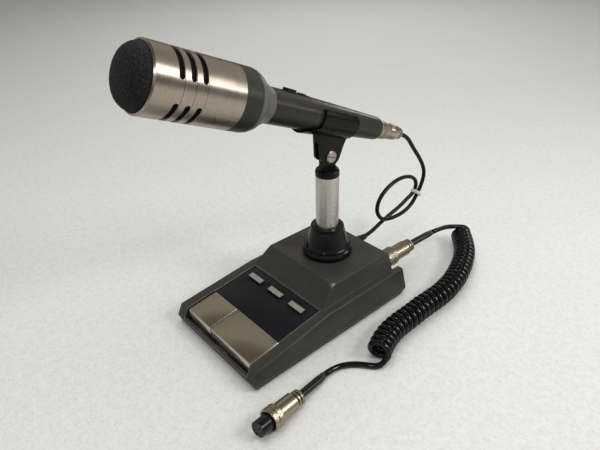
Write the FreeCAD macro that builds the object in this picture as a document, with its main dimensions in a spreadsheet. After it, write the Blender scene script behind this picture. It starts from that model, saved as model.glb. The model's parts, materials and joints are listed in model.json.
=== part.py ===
"""Desk microphone: switch base, stem, clip and hand microphone, with its two cords.

Millimetres. X is to the right of a person facing the bars, Y runs from the bars to
the rear, Z is up. The model is laid out from the front edge of the base and moved at
the end so that the origin is under the middle of the base, on the table.
"""
import FreeCAD, Part
import Sketcher
import math
import os
from FreeCAD import Placement, Rotation, Vector

X_AXIS = Vector(1, 0, 0)
Y_AXIS = Vector(0, 1, 0)
Z_AXIS = Vector(0, 0, 1)
HOME = Placement()

# name, millimetres or degrees, what it measures
SIZES = [
    ("case_half", 62.0, "half width of the case at its widest line"),
    ("case_long", 193.0, "length of the case"),
    ("hem_up", 1.5, "height of the lower edge above the table"),
    ("wide_up", 8.35, "height of the widest line"),
    ("nose_back", 4.5, "front end of the rails, behind the widest line"),
    ("nose_up", 20.4, "height of the front end of the rails"),
    ("shelf_back", 87.5, "where the switch slope ends"),
    ("shelf_up", 31.5, "height of the ledge beside the raised body"),
    ("shelf_half", 58.2, "half width at the outer edge of the ledge"),
    ("riser_half", 50.8, "half width at the foot of the raised body"),
    ("top_half", 45.7, "half width of the flat top"),
    ("top_up", 48.5, "height of the flat top"),
    ("top_front", 104.5, "front edge of the flat top"),
    ("top_rear", 179.5, "rear edge of the flat top"),
    ("heel_back", 190.0, "rear end of the ledge"),
    ("wall", 2.8, "thickness of the case wall"),
    ("lane_half", 49.6, "half width of the opening that holds the bars"),
    ("lane_rear", 36.9, "rear edge of that opening"),
    ("sill_up", 9.2, "height of the low front wall"),
    ("niche_back", 181.5, "face that carries the rear socket and the cord"),
    ("niche_half", 52.0, "half width of the rear recess"),
    ("plate_top", 4.5, "upper face of the bottom plate"),
    ("plate_thick", 1.5, "thickness of the bottom plate"),
    ("panel_half", 48.4, "half width of the black switch panel"),
    ("panel_rear", 85.0, "rear edge of the black switch panel"),
    ("panel_thick", 1.2, "thickness of the black switch panel"),
    ("cap_wide", 18.2, "width of a push button"),
    ("cap_deep", 6.4, "depth of a push button, front to rear"),
    ("cap_pitch", 30.0, "distance from one push button to the next"),
    ("cap_up_slope", 69.6, "row of push buttons, up the slope from the nose"),
    ("cap_fit", 0.3, "gap round a push button"),
    ("bar_thick", 1.2, "sheet of the bars"),
    ("bar_front", 5.4, "front lip of the bars"),
    ("bar_rear", 36.3, "rear edge of the bars"),
    ("bar_low", 11.2, "lower edge of the front lip"),
    ("bar_split", -10.9, "gap between the two bars"),
    ("rod_back", 47.0, "pivot rod of the bars"),
    ("rod_up", 13.5, "height of the pivot rod"),
    ("rod_rad", 1.5, "radius of the pivot rod"),
    ("stem_back", 141.1, "axis of the stem"),
    ("stem_rad", 11.0, "radius of the stem tube"),
    ("stem_top", 131.5, "upper end of the stem tube"),
    ("tail_rad", 8.0, "radius of the threaded end below the stem tube"),
    ("pivot_up", 150.5, "height of the tilting pivot"),
    ("pivot_rad", 2.4, "radius of the pivot screw"),
    ("tongue_half", 2.0, "half thickness of the tongue of the swivel base"),
    ("tongue_rad", 8.6, "rounding of the tongue"),
    ("mic_tilt", 22.7, "slope of the microphone, front end up"),
    ("mic_face_back", -25.7, "front rim of the microphone, in Y"),
    ("mic_face_up", 255.3, "front rim of the microphone, in Z"),
    ("head_rad", 24.3, "radius of the head"),
    ("head_long", 71.2, "length of the bright head"),
    ("head_wall", 1.6, "wall of the head"),
    ("slot_wide", 4.2, "width of a slot in the head"),
    ("slot_first", 17.0, "front edge of the first row of slots"),
    ("slot_pitch", 8.85, "distance from one row of slots to the next"),
    ("slot_angle", 83.4, "arc of one slot"),
    ("collar_end", 98.0, "rear end of the dark collar, from the front rim"),
    ("grip_start", 108.0, "where the flare of the handle ends"),
    ("grip_end", 247.5, "rear end of the handle"),
    ("grip_rad", 14.4, "radius of the handle at the flare"),
    ("grip_tail_rad", 10.9, "radius of the handle at the rear end"),
    ("cord_rad", 2.15, "radius of the microphone cord"),
    ("curly_rad", 2.6, "radius of the curly cord"),
    ("coil_rad", 11.5, "outer radius of the coil"),
    ("sleeve_rad", 3.5, "radius of the shrunk sleeves"),
    ("plug_rad", 9.5, "radius of a coupling ring"),
    ("shell_rad", 7.8, "radius of a plug's shell"),
    ("socket_right", 39.5, "rear socket, right of the middle"),
    ("socket_up", 35.5, "height of the rear socket"),
    ("gland_up", 39.3, "height of the microphone cord's gland"),
]

doc = FreeCAD.newDocument("desk_microphone")
sheet = doc.addObject("Spreadsheet::Sheet", "sizes")


class Dim:
    """A length with its value now and the expression that keeps it bound to the sheet."""

    def __init__(self, value, text):
        self.value = value
        self.text = text

    def join(self, other, sign, value):
        return Dim(value, "(%s %s %s)" % (self.text, sign, text_of(other)))

    def __add__(self, other):
        return self.join(other, "+", self.value + value_of(other))

    def __sub__(self, other):
        return self.join(other, "-", self.value - value_of(other))

    def __mul__(self, other):
        return self.join(other, "*", self.value * value_of(other))

    def __truediv__(self, other):
        return self.join(other, "/", self.value / value_of(other))

    def __neg__(self):
        return Dim(-self.value, "(0 - %s)" % self.text)


def value_of(size):
    return size.value if isinstance(size, Dim) else float(size)


def text_of(size):
    return size.text if isinstance(size, Dim) else repr(float(size))


def make_sheet():
    """Write every driving size to the sheet and return them by name."""
    table = {}
    for row, (name, value, meaning) in enumerate(SIZES, start=1):
        sheet.set("A%d" % row, meaning)
        sheet.set("B%d" % row, repr(value))
        sheet.setAlias("B%d" % row, name)
        table[name] = Dim(value, "sizes." + name)
    return table


D = make_sheet()
doc.recompute()


def bind(thing, name, size):
    """Set a property and, if the size comes from the sheet, bind it."""
    setattr(thing, name, value_of(size))
    if isinstance(size, Dim):
        thing.setExpression(name, size.text)


# ---------------------------------------------------------------- building blocks

def origin_plane(body, role):
    return [part for part in body.Origin.OriginFeatures if part.Role == role][0]


def outline(body, role, points):
    """A closed outline of straight edges, each corner dimensioned from the origin."""
    sketch = body.newObject("Sketcher::SketchObject", body.Name + "_outline")
    sketch.AttachmentSupport = [(origin_plane(body, role), "")]
    sketch.MapMode = "FlatFace"
    spots = [Vector(value_of(u), value_of(v), 0) for u, v in points]
    count = len(spots)
    for i in range(count):
        sketch.addGeometry(Part.LineSegment(spots[i], spots[(i + 1) % count]), False)
    for i in range(count):
        sketch.addConstraint(Sketcher.Constraint("Coincident", i, 2, (i + 1) % count, 1))
    for i, (u, v) in enumerate(points):
        for kind, size in (("DistanceX", u), ("DistanceY", v)):
            rule = Sketcher.Constraint(kind, -1, 1, i, 1, value_of(size))
            number = sketch.addConstraint(rule)
            if isinstance(size, Dim):
                sketch.setExpression("Constraints[%d]" % number, size.text)
    return sketch


def turned(name, points, at=HOME):
    """A solid of revolution about its own Z from (radius, height) corners."""
    body = doc.addObject("PartDesign::Body", name)
    sketch = outline(body, "XZ_Plane", points)
    spin = body.newObject("PartDesign::Revolution", name + "_turn")
    spin.Profile = sketch
    spin.ReferenceAxis = (sketch, ["V_Axis"])
    spin.Angle = 360.0
    body.Placement = at
    return body


def slab(name, points, low, high, at=HOME):
    """A prism along X from (y, z) corners, between x = low and x = high."""
    body = doc.addObject("PartDesign::Body", name)
    sketch = outline(body, "YZ_Plane", points)
    sketch.AttachmentOffset = Placement(Vector(0, 0, value_of(low)), Rotation())
    if isinstance(low, Dim):
        sketch.setExpression("AttachmentOffset.Base.z", low.text)
    pad = body.newObject("PartDesign::Pad", name + "_pad")
    pad.Profile = sketch
    span = high - low if isinstance(high, Dim) else Dim(value_of(high), text_of(high)) - low
    bind(pad, "Length", span)
    body.Placement = at
    return body


def tower(name, points, low, high, at=HOME):
    """A prism along Y from (x, z) corners, between y = low and y = high."""
    body = doc.addObject("PartDesign::Body", name)
    sketch = outline(body, "XZ_Plane", points)
    sketch.AttachmentOffset = Placement(Vector(0, 0, -value_of(low)), Rotation())
    pad = body.newObject("PartDesign::Pad", name + "_pad")
    pad.Profile = sketch
    bind(pad, "Length", Dim(value_of(high), text_of(high)) - low)
    pad.Reversed = True
    body.Placement = at
    return body


def block(name, low, high, at=HOME):
    """A box between two opposite corners."""
    box = doc.addObject("Part::Box", name)
    for side, a, b in zip(("Length", "Width", "Height"), low, high):
        bind(box, side, Dim(value_of(b), text_of(b)) - a)
    corner = Vector(*[value_of(a) for a in low])
    box.Placement = at.multiply(Placement(corner, Rotation()))
    return box


def rod(name, radius, start, direction, length, at=HOME):
    """A round bar from a point along a direction."""
    bar = doc.addObject("Part::Cylinder", name)
    bind(bar, "Radius", radius)
    bind(bar, "Height", length)
    spot = Vector(*[value_of(a) for a in start])
    bar.Placement = at.multiply(Placement(spot, Rotation(Z_AXIS, direction)))
    return bar


def fuse(name, pieces):
    whole = doc.addObject("Part::MultiFuse", name)
    whole.Shapes = pieces
    return whole


def cut(name, base, tools):
    """Take one or more tools away from a piece."""
    tool = tools[0] if len(tools) == 1 else fuse(name + "_tools", tools)
    result = doc.addObject("Part::Cut", name)
    result.Base = base
    result.Tool = tool
    return result


def loose(name, shapes):
    """Identical separate pieces that share one file."""
    group = doc.addObject("Part::Compound", name)
    group.Links = shapes
    return group


def finish(name, piece):
    """Name a sub-part after its file."""
    piece.Label = name
    nodes.append(piece)
    return piece


nodes = []


# ---------------------------------------------------------------- frames of the parts

# On the switch slope: x to the right, y up the slope, z out of it.
slope_angle = math.degrees(math.atan2(D["shelf_up"].value - D["nose_up"].value,
                                      D["shelf_back"].value - D["nose_back"].value))
SLOPE = Placement(Vector(0, D["nose_back"].value, D["nose_up"].value),
                  Rotation(X_AXIS, slope_angle))

# Along the microphone: y from the front rim to the rear, z across it and upwards.
MIC = Placement(Vector(0, D["mic_face_back"].value, D["mic_face_up"].value),
                Rotation(X_AXIS, -D["mic_tilt"].value))

# Pieces turned about their own Z, laid along Y.
LAY_DOWN = Rotation(X_AXIS, -90)
MIC_TURNED = MIC.multiply(Placement(Vector(), LAY_DOWN))


def standing(x, y):
    return Placement(Vector(x, y, 0), Rotation())


def lying(x, z):
    return Placement(Vector(x, 0, z), LAY_DOWN)


def up_slope(y):
    """Distance up the slope of a point that lies y behind the front edge."""
    return (y - D["nose_back"].value) / math.cos(math.radians(slope_angle))


PIVOT = Vector(0, D["stem_back"].value, D["pivot_up"].value)
STEM = standing(0, D["stem_back"].value)


# ---------------------------------------------------------------- case

def mirrored(points):
    """Both halves of an outline from its right half, listed from the bottom up."""
    return points + [(-x, z) for x, z in reversed(points)]


def make_case():
    side = [(2.0, D["hem_up"]), (0.0, D["wide_up"]), (D["nose_back"], D["nose_up"]),
            (D["shelf_back"], D["shelf_up"]), (D["top_front"], D["top_up"]),
            (D["top_rear"], D["top_up"]), (D["heel_back"], D["shelf_up"]),
            (D["case_long"], D["wide_up"]), (D["case_long"] - 6, D["hem_up"])]
    front = mirrored([(D["case_half"] - 1.5, D["hem_up"]), (D["case_half"], D["wide_up"]),
                      (D["shelf_half"], D["shelf_up"]), (D["riser_half"], D["shelf_up"]),
                      (D["top_half"], D["top_up"])])
    outer = doc.addObject("Part::Common", "case_outer")
    outer.Base = slab("case_side", side, -D["case_half"], D["case_half"])
    outer.Tool = tower("case_front", front, 0, D["case_long"])
    doc.recompute()
    rounded = doc.addObject("Part::Fillet", "case_rounded")
    rounded.Base = outer
    rounded.Edges = [(edge + 1, 0.9, 0.9) for edge in range(len(outer.Shape.Edges))]

    # hollow of the raised body and of the switch slope
    drop = 4.0
    hollow = doc.addObject("Part::Common", "case_hollow")
    hollow.Base = slab("hollow_side", [
        (36.0, -2), (36.0, D["nose_up"] + 4.2 - drop), (88.0, D["shelf_up"] + 0.07 - drop),
        (D["top_front"] + 1, D["top_up"] - D["wall"]), (179.0, D["top_up"] - D["wall"]),
        (179.0, -2)], -D["case_half"], D["case_half"])
    hollow.Tool = tower("hollow_front", mirrored([
        (D["case_half"] - 4.5, -2), (D["case_half"] - 3.0, D["wide_up"]),
        (D["shelf_half"] - 3.0, D["shelf_up"] - D["wall"]),
        (D["riser_half"] - 2.6, D["shelf_up"] - D["wall"]),
        (D["top_half"] - 2.5, D["top_up"] - D["wall"])]), 0, D["case_long"])

    cuts = [hollow]
    cuts.append(block("lane", (-D["lane_half"], 2.9, -2), (D["lane_half"], D["lane_rear"], 60)))
    cuts.append(block("mouth", (-D["lane_half"], -5, D["sill_up"]), (D["lane_half"], 10, 60)))
    cuts.append(block("rebate", (-57, 4.0, -2), (57, 184.5, D["plate_top"])))
    cuts.append(block("niche", (-D["niche_half"], D["niche_back"], 14.0),
                      (D["niche_half"], 200, 60)))
    cuts.append(block("panel_bed", (-48.6, up_slope(34.0), -1.6),
                      (48.6, up_slope(85.5), 6.0), SLOPE))
    for number, step in enumerate((-1, 0, 1)):
        middle = D["cap_pitch"] * step
        half_wide = D["cap_wide"] / 2 + D["cap_fit"]
        half_deep = D["cap_deep"] / 2 + D["cap_fit"]
        cuts.append(block("case_window_%d" % number,
                          (middle - half_wide, D["cap_up_slope"] - half_deep, -6.0),
                          (middle + half_wide, D["cap_up_slope"] + half_deep, 2.0), SLOPE))
    cuts.append(rod("stem_hole", D["tail_rad"] + 0.1, (0, D["stem_back"], 40), Z_AXIS, 20))
    cuts.append(rod("socket_hole", 8.1, (D["socket_right"], 170, D["socket_up"]), Y_AXIS, 20))
    cuts.append(rod("socket_bed", 9.2, (D["socket_right"], 160, D["socket_up"]), Y_AXIS, 19))
    cuts.append(rod("gland_hole", 4.6, (0, 170, D["gland_up"]), Y_AXIS, 20))
    for x, y in CASE_SCREWS:
        cuts.append(rod("case_screw_hole", 1.45, (x, y, 0), Z_AXIS, 11.4))
    shell = cut("case_shell", rounded, cuts)

    bosses = [rod("boss", 3.2, (x, y, -12.4), Z_AXIS, 9.4, SLOPE) for x, y in BOARD_SCREWS]
    holes = [rod("boss_hole", 1.0, (x, y, -13.0), Z_AXIS, 7.0, SLOPE) for x, y in BOARD_SCREWS]
    return finish("base_case", cut("base_case", fuse("case_bossed", [shell] + bosses), holes))


CASE_SCREWS = [(-53.5, 14.0), (53.5, 14.0), (-50.0, 182.0), (50.0, 182.0)]
BALLAST_SCREWS = [(-30.0, 140.0), (30.0, 140.0)]
BRACKET_SCREWS = [(-26.0, 51.0), (26.0, 51.0)]
BOARD_SCREWS = [(-38.0, 52.0), (38.0, 52.0), (-38.0, 78.0), (38.0, 78.0)]
FEET = [(-44.0, 20.0), (44.0, 20.0), (-44.0, 168.0), (44.0, 168.0)]


def make_bottom():
    under = D["plate_top"] - D["plate_thick"]
    plate = block("plate_sheet", (-56.8, 4.2, under), (56.8, 184.3, D["plate_top"]))
    holes = []
    for x, y in CASE_SCREWS + BALLAST_SCREWS + BRACKET_SCREWS:
        holes.append(rod("plate_hole", 1.6, (x, y, 0), Z_AXIS, 10))
    for x, y in FEET:
        holes.append(rod("foot_hole", 3.0, (x, y, 0), Z_AXIS, 10))
    finish("bottom_plate", cut("bottom_plate", plate, holes))

    feet = []
    for x, y in FEET:
        feet.append(turned("foot", [(0, 0), (6.4, 0), (7.0, 0.6), (7.0, under), (3.0, under),
                                    (3.0, D["plate_top"] - 0.1), (0, D["plate_top"] - 0.1)],
                           standing(x, y)))
    finish("rubber_feet", loose("rubber_feet", feet))

    screws = []
    for group, tip in ((CASE_SCREWS, 11.0), (BALLAST_SCREWS, 11.0), (BRACKET_SCREWS, 7.2)):
        for x, y in group:
            body = turned("screw_body", [(0, 1.3), (2.2, 1.3), (2.8, 1.9), (2.8, under),
                                         (1.45, under), (1.45, tip - 0.8), (0.8, tip), (0, tip)],
                          standing(x, y))
            slot = block("screw_slot", (-3, -0.35, 1.0), (3, 0.35, 2.1), standing(x, y))
            screws.append(cut("screw", body, [slot]))
    finish("bottom_screws", loose("bottom_screws", screws))

    weight = block("weight_bar", (-40, 108, D["plate_top"]), (40, 172, 12.5))
    finish("ballast_weight", cut("ballast_weight", weight, [
        rod("weight_hole", 1.45, (x, y, 0), Z_AXIS, 20) for x, y in BALLAST_SCREWS]))


# ---------------------------------------------------------------- switch panel

def make_panel():
    sheet_metal = block("panel_sheet", (-D["panel_half"], up_slope(37.1), -1.6),
                        (D["panel_half"], up_slope(85.3), D["panel_thick"] - 1.6), SLOPE)
    windows = []
    for step in (-1, 0, 1):
        middle = D["cap_pitch"] * step
        half_wide = D["cap_wide"] / 2 + D["cap_fit"]
        half_deep = D["cap_deep"] / 2 + D["cap_fit"]
        windows.append(block("panel_window",
                             (middle - half_wide, D["cap_up_slope"] - half_deep, -6.0),
                             (middle + half_wide, D["cap_up_slope"] + half_deep, 2.0), SLOPE))
    finish("control_panel", cut("control_panel", sheet_metal, windows))

    board = block("board_sheet", (-42, 49, -14.0), (42, 82, -12.4), SLOPE)
    finish("circuit_board", cut("circuit_board", board, [
        rod("board_hole", 1.1, (x, y, -20), Z_AXIS, 20, SLOPE) for x, y in BOARD_SCREWS]))
    screws = [fuse("board_screw", [rod("board_shank", 1.0, (x, y, -14.0), Z_AXIS, 6.5, SLOPE),
                                   rod("board_head", 1.9, (x, y, -15.4), Z_AXIS, 1.4, SLOPE)])
              for x, y in BOARD_SCREWS]
    finish("board_screws", loose("board_screws", screws))

    row = D["cap_up_slope"]
    switches = []
    for step, side in ((-1, "left"), (0, "middle"), (1, "right")):
        middle = D["cap_pitch"] * step
        body = block("switch_block", (middle - 6.5, row - 4.5, -12.4),
                     (middle + 6.5, row + 4.5, -7.2), SLOPE)
        well = rod("switch_well", 1.8, (middle, row, -11.9), Z_AXIS, 8, SLOPE)
        switches.append(cut("switch", body, [well]))
        cap = block("cap", (middle - D["cap_wide"] / 2, row - D["cap_deep"] / 2, -5.5),
                    (middle + D["cap_wide"] / 2, row + D["cap_deep"] / 2, 2.0), SLOPE)
        top = doc.addObject("Part::Chamfer", "cap_edged")
        top.Base = cap
        top.Edges = [(edge, 0.5, 0.5) for edge in (6, 8, 10, 12)]
        stalk = rod("stalk", 1.7, (middle, row, -9.8), Z_AXIS, 5, SLOPE)
        finish("button_" + side, fuse("button_" + side, [top, stalk]))
    finish("button_switches", loose("button_switches", switches))


# ---------------------------------------------------------------- bars

ARM = [(19.0, 21.7), (34.0, 23.7), (36.6, 18.8), (46.0, 17.0), (50.0, 15.5), (50.6, 12.5),
       (47.5, 10.3), (44.0, 11.2), (36.0, 14.2), (26.0, 17.6)]


def slope_line(y, drop=0.0):
    """Height of the switch slope at y, less a drop."""
    rise = (D["shelf_up"].value - D["nose_up"].value)
    run = (D["shelf_back"].value - D["nose_back"].value)
    return D["nose_up"].value + (y - D["nose_back"].value) * rise / run - drop


def make_bar(name, left, right, arms, tab_at):
    front = D["bar_front"]
    rear = D["bar_rear"]
    thick = D["bar_thick"]
    fold = [(front, D["bar_low"]), (front + thick, D["bar_low"]),
            (front + thick, slope_line(6.6, 1.3)), (rear, slope_line(36.3, 1.2)),
            (rear, slope_line(36.3)), (front + 1.0, slope_line(6.4)),
            (front + 0.3, slope_line(5.7, 0.3)), (front, slope_line(5.4, 0.9))]
    pieces = [slab(name + "_fold", fold, left, right)]
    for low in arms:
        pieces.append(slab(name + "_arm", ARM, low, low + 2.0))
    pieces.append(block(name + "_tab", (tab_at - 2.0, 25.5, 13.3), (tab_at + 2.0, 26.5, 22.7)))
    bore = rod(name + "_bore", D["rod_rad"] + 0.05, (-60, D["rod_back"], D["rod_up"]), X_AXIS, 120)
    return finish(name, cut(name, fuse(name + "_welded", pieces), [bore]))


def make_bars():
    half = D["lane_half"]
    make_bar("ptt_bar", D["bar_split"] + 0.5, half - 0.6, (2.0, 42.0), 30.0)
    make_bar("lock_bar", -(half - 2.6), D["bar_split"] - 0.5, (-43.0, -17.0), -24.0)
    finish("bar_pivot_rod", rod("bar_pivot_rod", D["rod_rad"],
                                (-48.3, D["rod_back"], D["rod_up"]), X_AXIS, 96.6))

    floor = block("bracket_floor", (-47.6, 10, D["plate_top"]), (47.6, 56, 5.7))
    lug = [(41.0, 5.0), (53.0, 5.0), (50.0, 16.6), (48.6, 17.6), (45.4, 17.6), (44.0, 16.6)]
    lugs = [slab("lug", lug, low, low + 1.2) for low in (-47.6, -6.6, 46.4)]
    holes = [rod("lug_bore", D["rod_rad"], (-60, D["rod_back"], D["rod_up"]), X_AXIS, 120)]
    holes += [rod("bracket_hole", 1.45, (x, y, 0), Z_AXIS, 10) for x, y in BRACKET_SCREWS]
    finish("lever_bracket", cut("lever_bracket", fuse("bracket_bent", [floor] + lugs), holes))

    for name, x in (("ptt_spring", 20.0), ("lock_spring", -33.0)):
        top = slope_line(16.0, 1.9)
        finish(name, turned(name, [(2.7, 5.7), (3.5, 5.7), (3.5, top), (2.7, top)],
                            standing(x, 16.0)))

    bodies = []
    for side, x in (("ptt", 30.0), ("lock", -24.0)):
        body = block("lever_switch_body", (x - 3.25, 20.0, 5.7), (x + 3.25, 32.8, 11.4))
        well = rod("plunger_well", 1.1, (x, 26.0, 8.2), Z_AXIS, 6)
        bodies.append(cut("lever_switch", body, [well]))
        finish(side + "_plunger", turned(side + "_plunger", [
            (0, 9.9), (1.0, 9.9), (1.0, 12.9), (0.7, 13.2), (0, 13.2)], standing(x, 26.0)))
    finish("lever_switches", loose("lever_switches", bodies))


# ---------------------------------------------------------------- stem and swivel

def make_stem():
    top = D["top_up"]
    bore = D["stem_rad"] + 0.05
    finish("stem_collar", turned("stem_collar", [
        (bore, top), (24.1, top), (24.6, top + 0.6), (24.7, top + 4.4), (24.3, top + 6.0),
        (23.3, top + 7.4), (22.0, top + 8.2), (21.2, top + 9.2), (20.6, top + 11.5), (19.2, top + 16.5),
        (17.9, top + 21.5), (17.0, top + 25.5), (16.6, top + 27.5), (16.1, top + 29.3),
        (15.2, top + 30.1), (13.4, top + 30.1), (bore, top + 28.4)], STEM))

    tail = D["tail_rad"]
    finish("stem_tube", turned("stem_tube", [
        (6.05, 34), (tail - 0.6, 34), (tail, 34.8), (tail, top), (D["stem_rad"], top),
        (D["stem_rad"], D["stem_top"] - 0.5), (D["stem_rad"] - 0.5, D["stem_top"]),
        (6.05, D["stem_top"])], STEM))

    nut = doc.addObject("Part::Prism", "nut_blank")
    nut.Polygon = 6
    nut.Circumradius = 13.0
    nut.Height = 5.0
    nut.Placement = Placement(Vector(0, D["stem_back"].value, 40.7), Rotation())
    finish("stem_nut", cut("stem_nut", nut, [
        rod("nut_bore", tail, (0, D["stem_back"], 30), Z_AXIS, 30)]))

    neck = D["stem_top"]
    post = turned("swivel_post", [
        (0, neck - 12), (6, neck - 12), (6, neck), (11.3, neck), (11.3, neck + 4.3),
        (10.6, neck + 5.7), (9.4, neck + 6.6), (8.6, neck + 7.0), (0, neck + 7.0)], STEM)
    half = D["tongue_half"]
    back = D["stem_back"]
    tongue = block("tongue_plate", (-half, back - D["tongue_rad"], neck + 5),
                   (half, back + D["tongue_rad"], D["pivot_up"]))
    crown = rod("tongue_crown", D["tongue_rad"], (-half, back, D["pivot_up"]), X_AXIS, half * 2)
    eye = rod("tongue_eye", D["pivot_rad"] + 0.05, (-10, back, D["pivot_up"]), X_AXIS, 20)
    finish("swivel_base", cut("swivel_base", fuse("swivel_body", [post, tongue, crown]), [eye]))


def grip_radius(along):
    """Outer radius of the handle at a distance from the front rim."""
    if along < 150.0:
        return 14.4 - 0.3 * (along - 108.0) / 42.0
    start = 14.1
    end = D["grip_tail_rad"].value
    return start + (end - start) * (along - 150.0) / (D["grip_end"].value - 150.0)


def make_clip():
    pivot = MIC.inverse().multVec(PIVOT)
    front, rear = 149.0, 208.0
    fit = 0.05
    wall = 2.6
    bend = 150.0
    cradle = turned("cradle_ring", [
        (grip_radius(front) + fit, front), (grip_radius(front) + wall, front),
        (grip_radius(bend) + wall, bend), (grip_radius(rear) + wall, rear),
        (grip_radius(rear) + fit, rear), (grip_radius(bend) + fit, bend)], MIC_TURNED)
    opened = cut("cradle_open", cradle, [
        slab("cradle_top", [(140, 7.8), (210, 7.8), (210, 30), (140, 30)], -30, 30, MIC),
        slab("cradle_front", [(140, 20), (162, 20), (162, -8), (149, -14.3), (149, -30),
                              (140, -30)], -30, 30, MIC),
        slab("cradle_corner", [(203.5, 8.5), (210, 8.5), (210, 1.3)], -30, 30, MIC)])
    cheeks = slab("cheeks", [
        (172, -13.7), (208, -13.7), (206.8, -20), (206, -33.5), (203.5, -38), (186, -38),
        (182.5, -36), (174.5, -19)], -4.6, 4.6, MIC)
    slot = block("cheek_slot", (-2.15, 160, -45), (2.15, 215, pivot.z + 9.1), MIC)
    eye = rod("cheek_eye", D["pivot_rad"], (-10, pivot.y, pivot.z), X_AXIS, 20, MIC)
    finish("mic_clip", cut("mic_clip", fuse("clip_body", [opened, cheeks]), [slot, eye]))

    shank = rod("pivot_shank", D["pivot_rad"], (-8.4, pivot.y, pivot.z), X_AXIS, 13.0, MIC)
    head = turned("pivot_head", [(0, 4.6), (5.8, 4.6), (5.8, 5.7), (5.0, 6.5), (0, 6.5)],
                  MIC.multiply(Placement(Vector(0, pivot.y, pivot.z), Rotation(Y_AXIS, 90))))
    groove = block("pivot_groove", (5.6, pivot.y - 7, pivot.z - 0.6),
                   (8, pivot.y + 7, pivot.z + 0.6), MIC)
    finish("pivot_screw", cut("pivot_screw", fuse("pivot_blank", [shank, head]), [groove]))
    nut = doc.addObject("Part::Prism", "pivot_nut_blank")
    nut.Polygon = 6
    nut.Circumradius = 5.4
    nut.Height = 3.4
    nut.Placement = MIC.multiply(Placement(Vector(-8.0, pivot.y, pivot.z), Rotation(Y_AXIS, 90)))
    finish("pivot_nut", cut("pivot_nut", nut, [
        rod("pivot_nut_bore", D["pivot_rad"], (-12, pivot.y, pivot.z), X_AXIS, 10, MIC)]))


# ---------------------------------------------------------------- microphone

def make_head():
    outer = D["head_rad"]
    inner = outer - D["head_wall"]
    end = D["head_long"]
    wide = D["slot_wide"]
    profile = [(inner, 0), (outer - 1.2, 0), (outer, 1.2)]
    for row in range(3):
        edge = D["slot_first"] + D["slot_pitch"] * row + wide
        profile += [(outer, edge), (outer - 0.3, edge + 0.05), (outer - 0.3, edge + 0.35),
                    (outer, edge + 0.4)]
    profile += [(outer, end), (inner, end)]
    shell = turned("head_tube", profile, MIC_TURNED)
    half_end = math.degrees(math.asin(wide.value / 2 / outer.value))
    slots = []
    for row in range(3):
        low = D["slot_first"] + D["slot_pitch"] * row
        for middle in (57.0, 177.0, 297.0):
            arc = D["slot_angle"].value - 2 * half_end
            pie = doc.addObject("Part::Cylinder", "slot_arc")
            bind(pie, "Radius", outer + 5)
            bind(pie, "Height", wide)
            pie.setExpression("Angle", "sizes.slot_angle - %r" % (2 * half_end))
            # the turning frame runs clockwise round the axis as seen from the front
            spin = Rotation(Z_AXIS, -middle - arc / 2)
            pie.Placement = MIC_TURNED.multiply(Placement(Vector(0, 0, low.value), spin))
            slots.append(pie)
            for side in (-1, 1):
                turn = math.radians(-middle + side * arc / 2)
                ray = Vector(math.cos(turn), math.sin(turn), 0)
                spot = (0, 0, low + wide / 2)
                slots.append(rod("slot_end", wide / 2, spot, ray, outer + 5, MIC_TURNED))
    finish("head_shell", cut("head_shell", shell, slots))
    finish("head_mesh", turned("head_mesh", [(22.15, 9), (22.6, 9), (22.6, 48), (22.15, 48)],
                               MIC_TURNED))
    finish("foam_windscreen", turned("foam_windscreen", [
        (0, -11.6), (8, -11.2), (13, -10.3), (16.6, -8.8), (19.4, -6.6), (21.2, -3.9),
        (22.3, -1.0), (22.5, 1.6), (22.5, 8.6), (21.9, 8.9), (21.9, 47), (20.4, 47), (20.4, 13), (0, 13)],
        MIC_TURNED))
    finish("mic_capsule", turned("mic_capsule", [
        (0, 15), (14.5, 15), (15.0, 14.6), (16.6, 14.6), (16.8, 15.2), (16.8, 33), (12, 35.5),
        (12, 38.8), (0, 38.8)], MIC_TURNED))
    finish("capsule_mount", turned("capsule_mount", [
        (16.9, 18), (18.4, 18), (18.4, 40), (20.3, 40), (20.3, 50), (22.6, 50), (22.6, 54),
        (8, 54), (8, 39), (12.1, 39), (12.1, 35.8), (16.9, 33.4)], MIC_TURNED))
    finish("head_ring", turned("head_ring", [
        (21.2, 66), (inner - 0.02, 66), (inner - 0.02, end), (outer, end), (24.25, 85.5),
        (23.6, 89), (22.2, 92.5), (20.3, 95.5), (18.4, D["collar_end"]),
        (14.0, D["collar_end"]), (14.0, 94), (18.5, 92.5), (21.2, 88)], MIC_TURNED))


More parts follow.
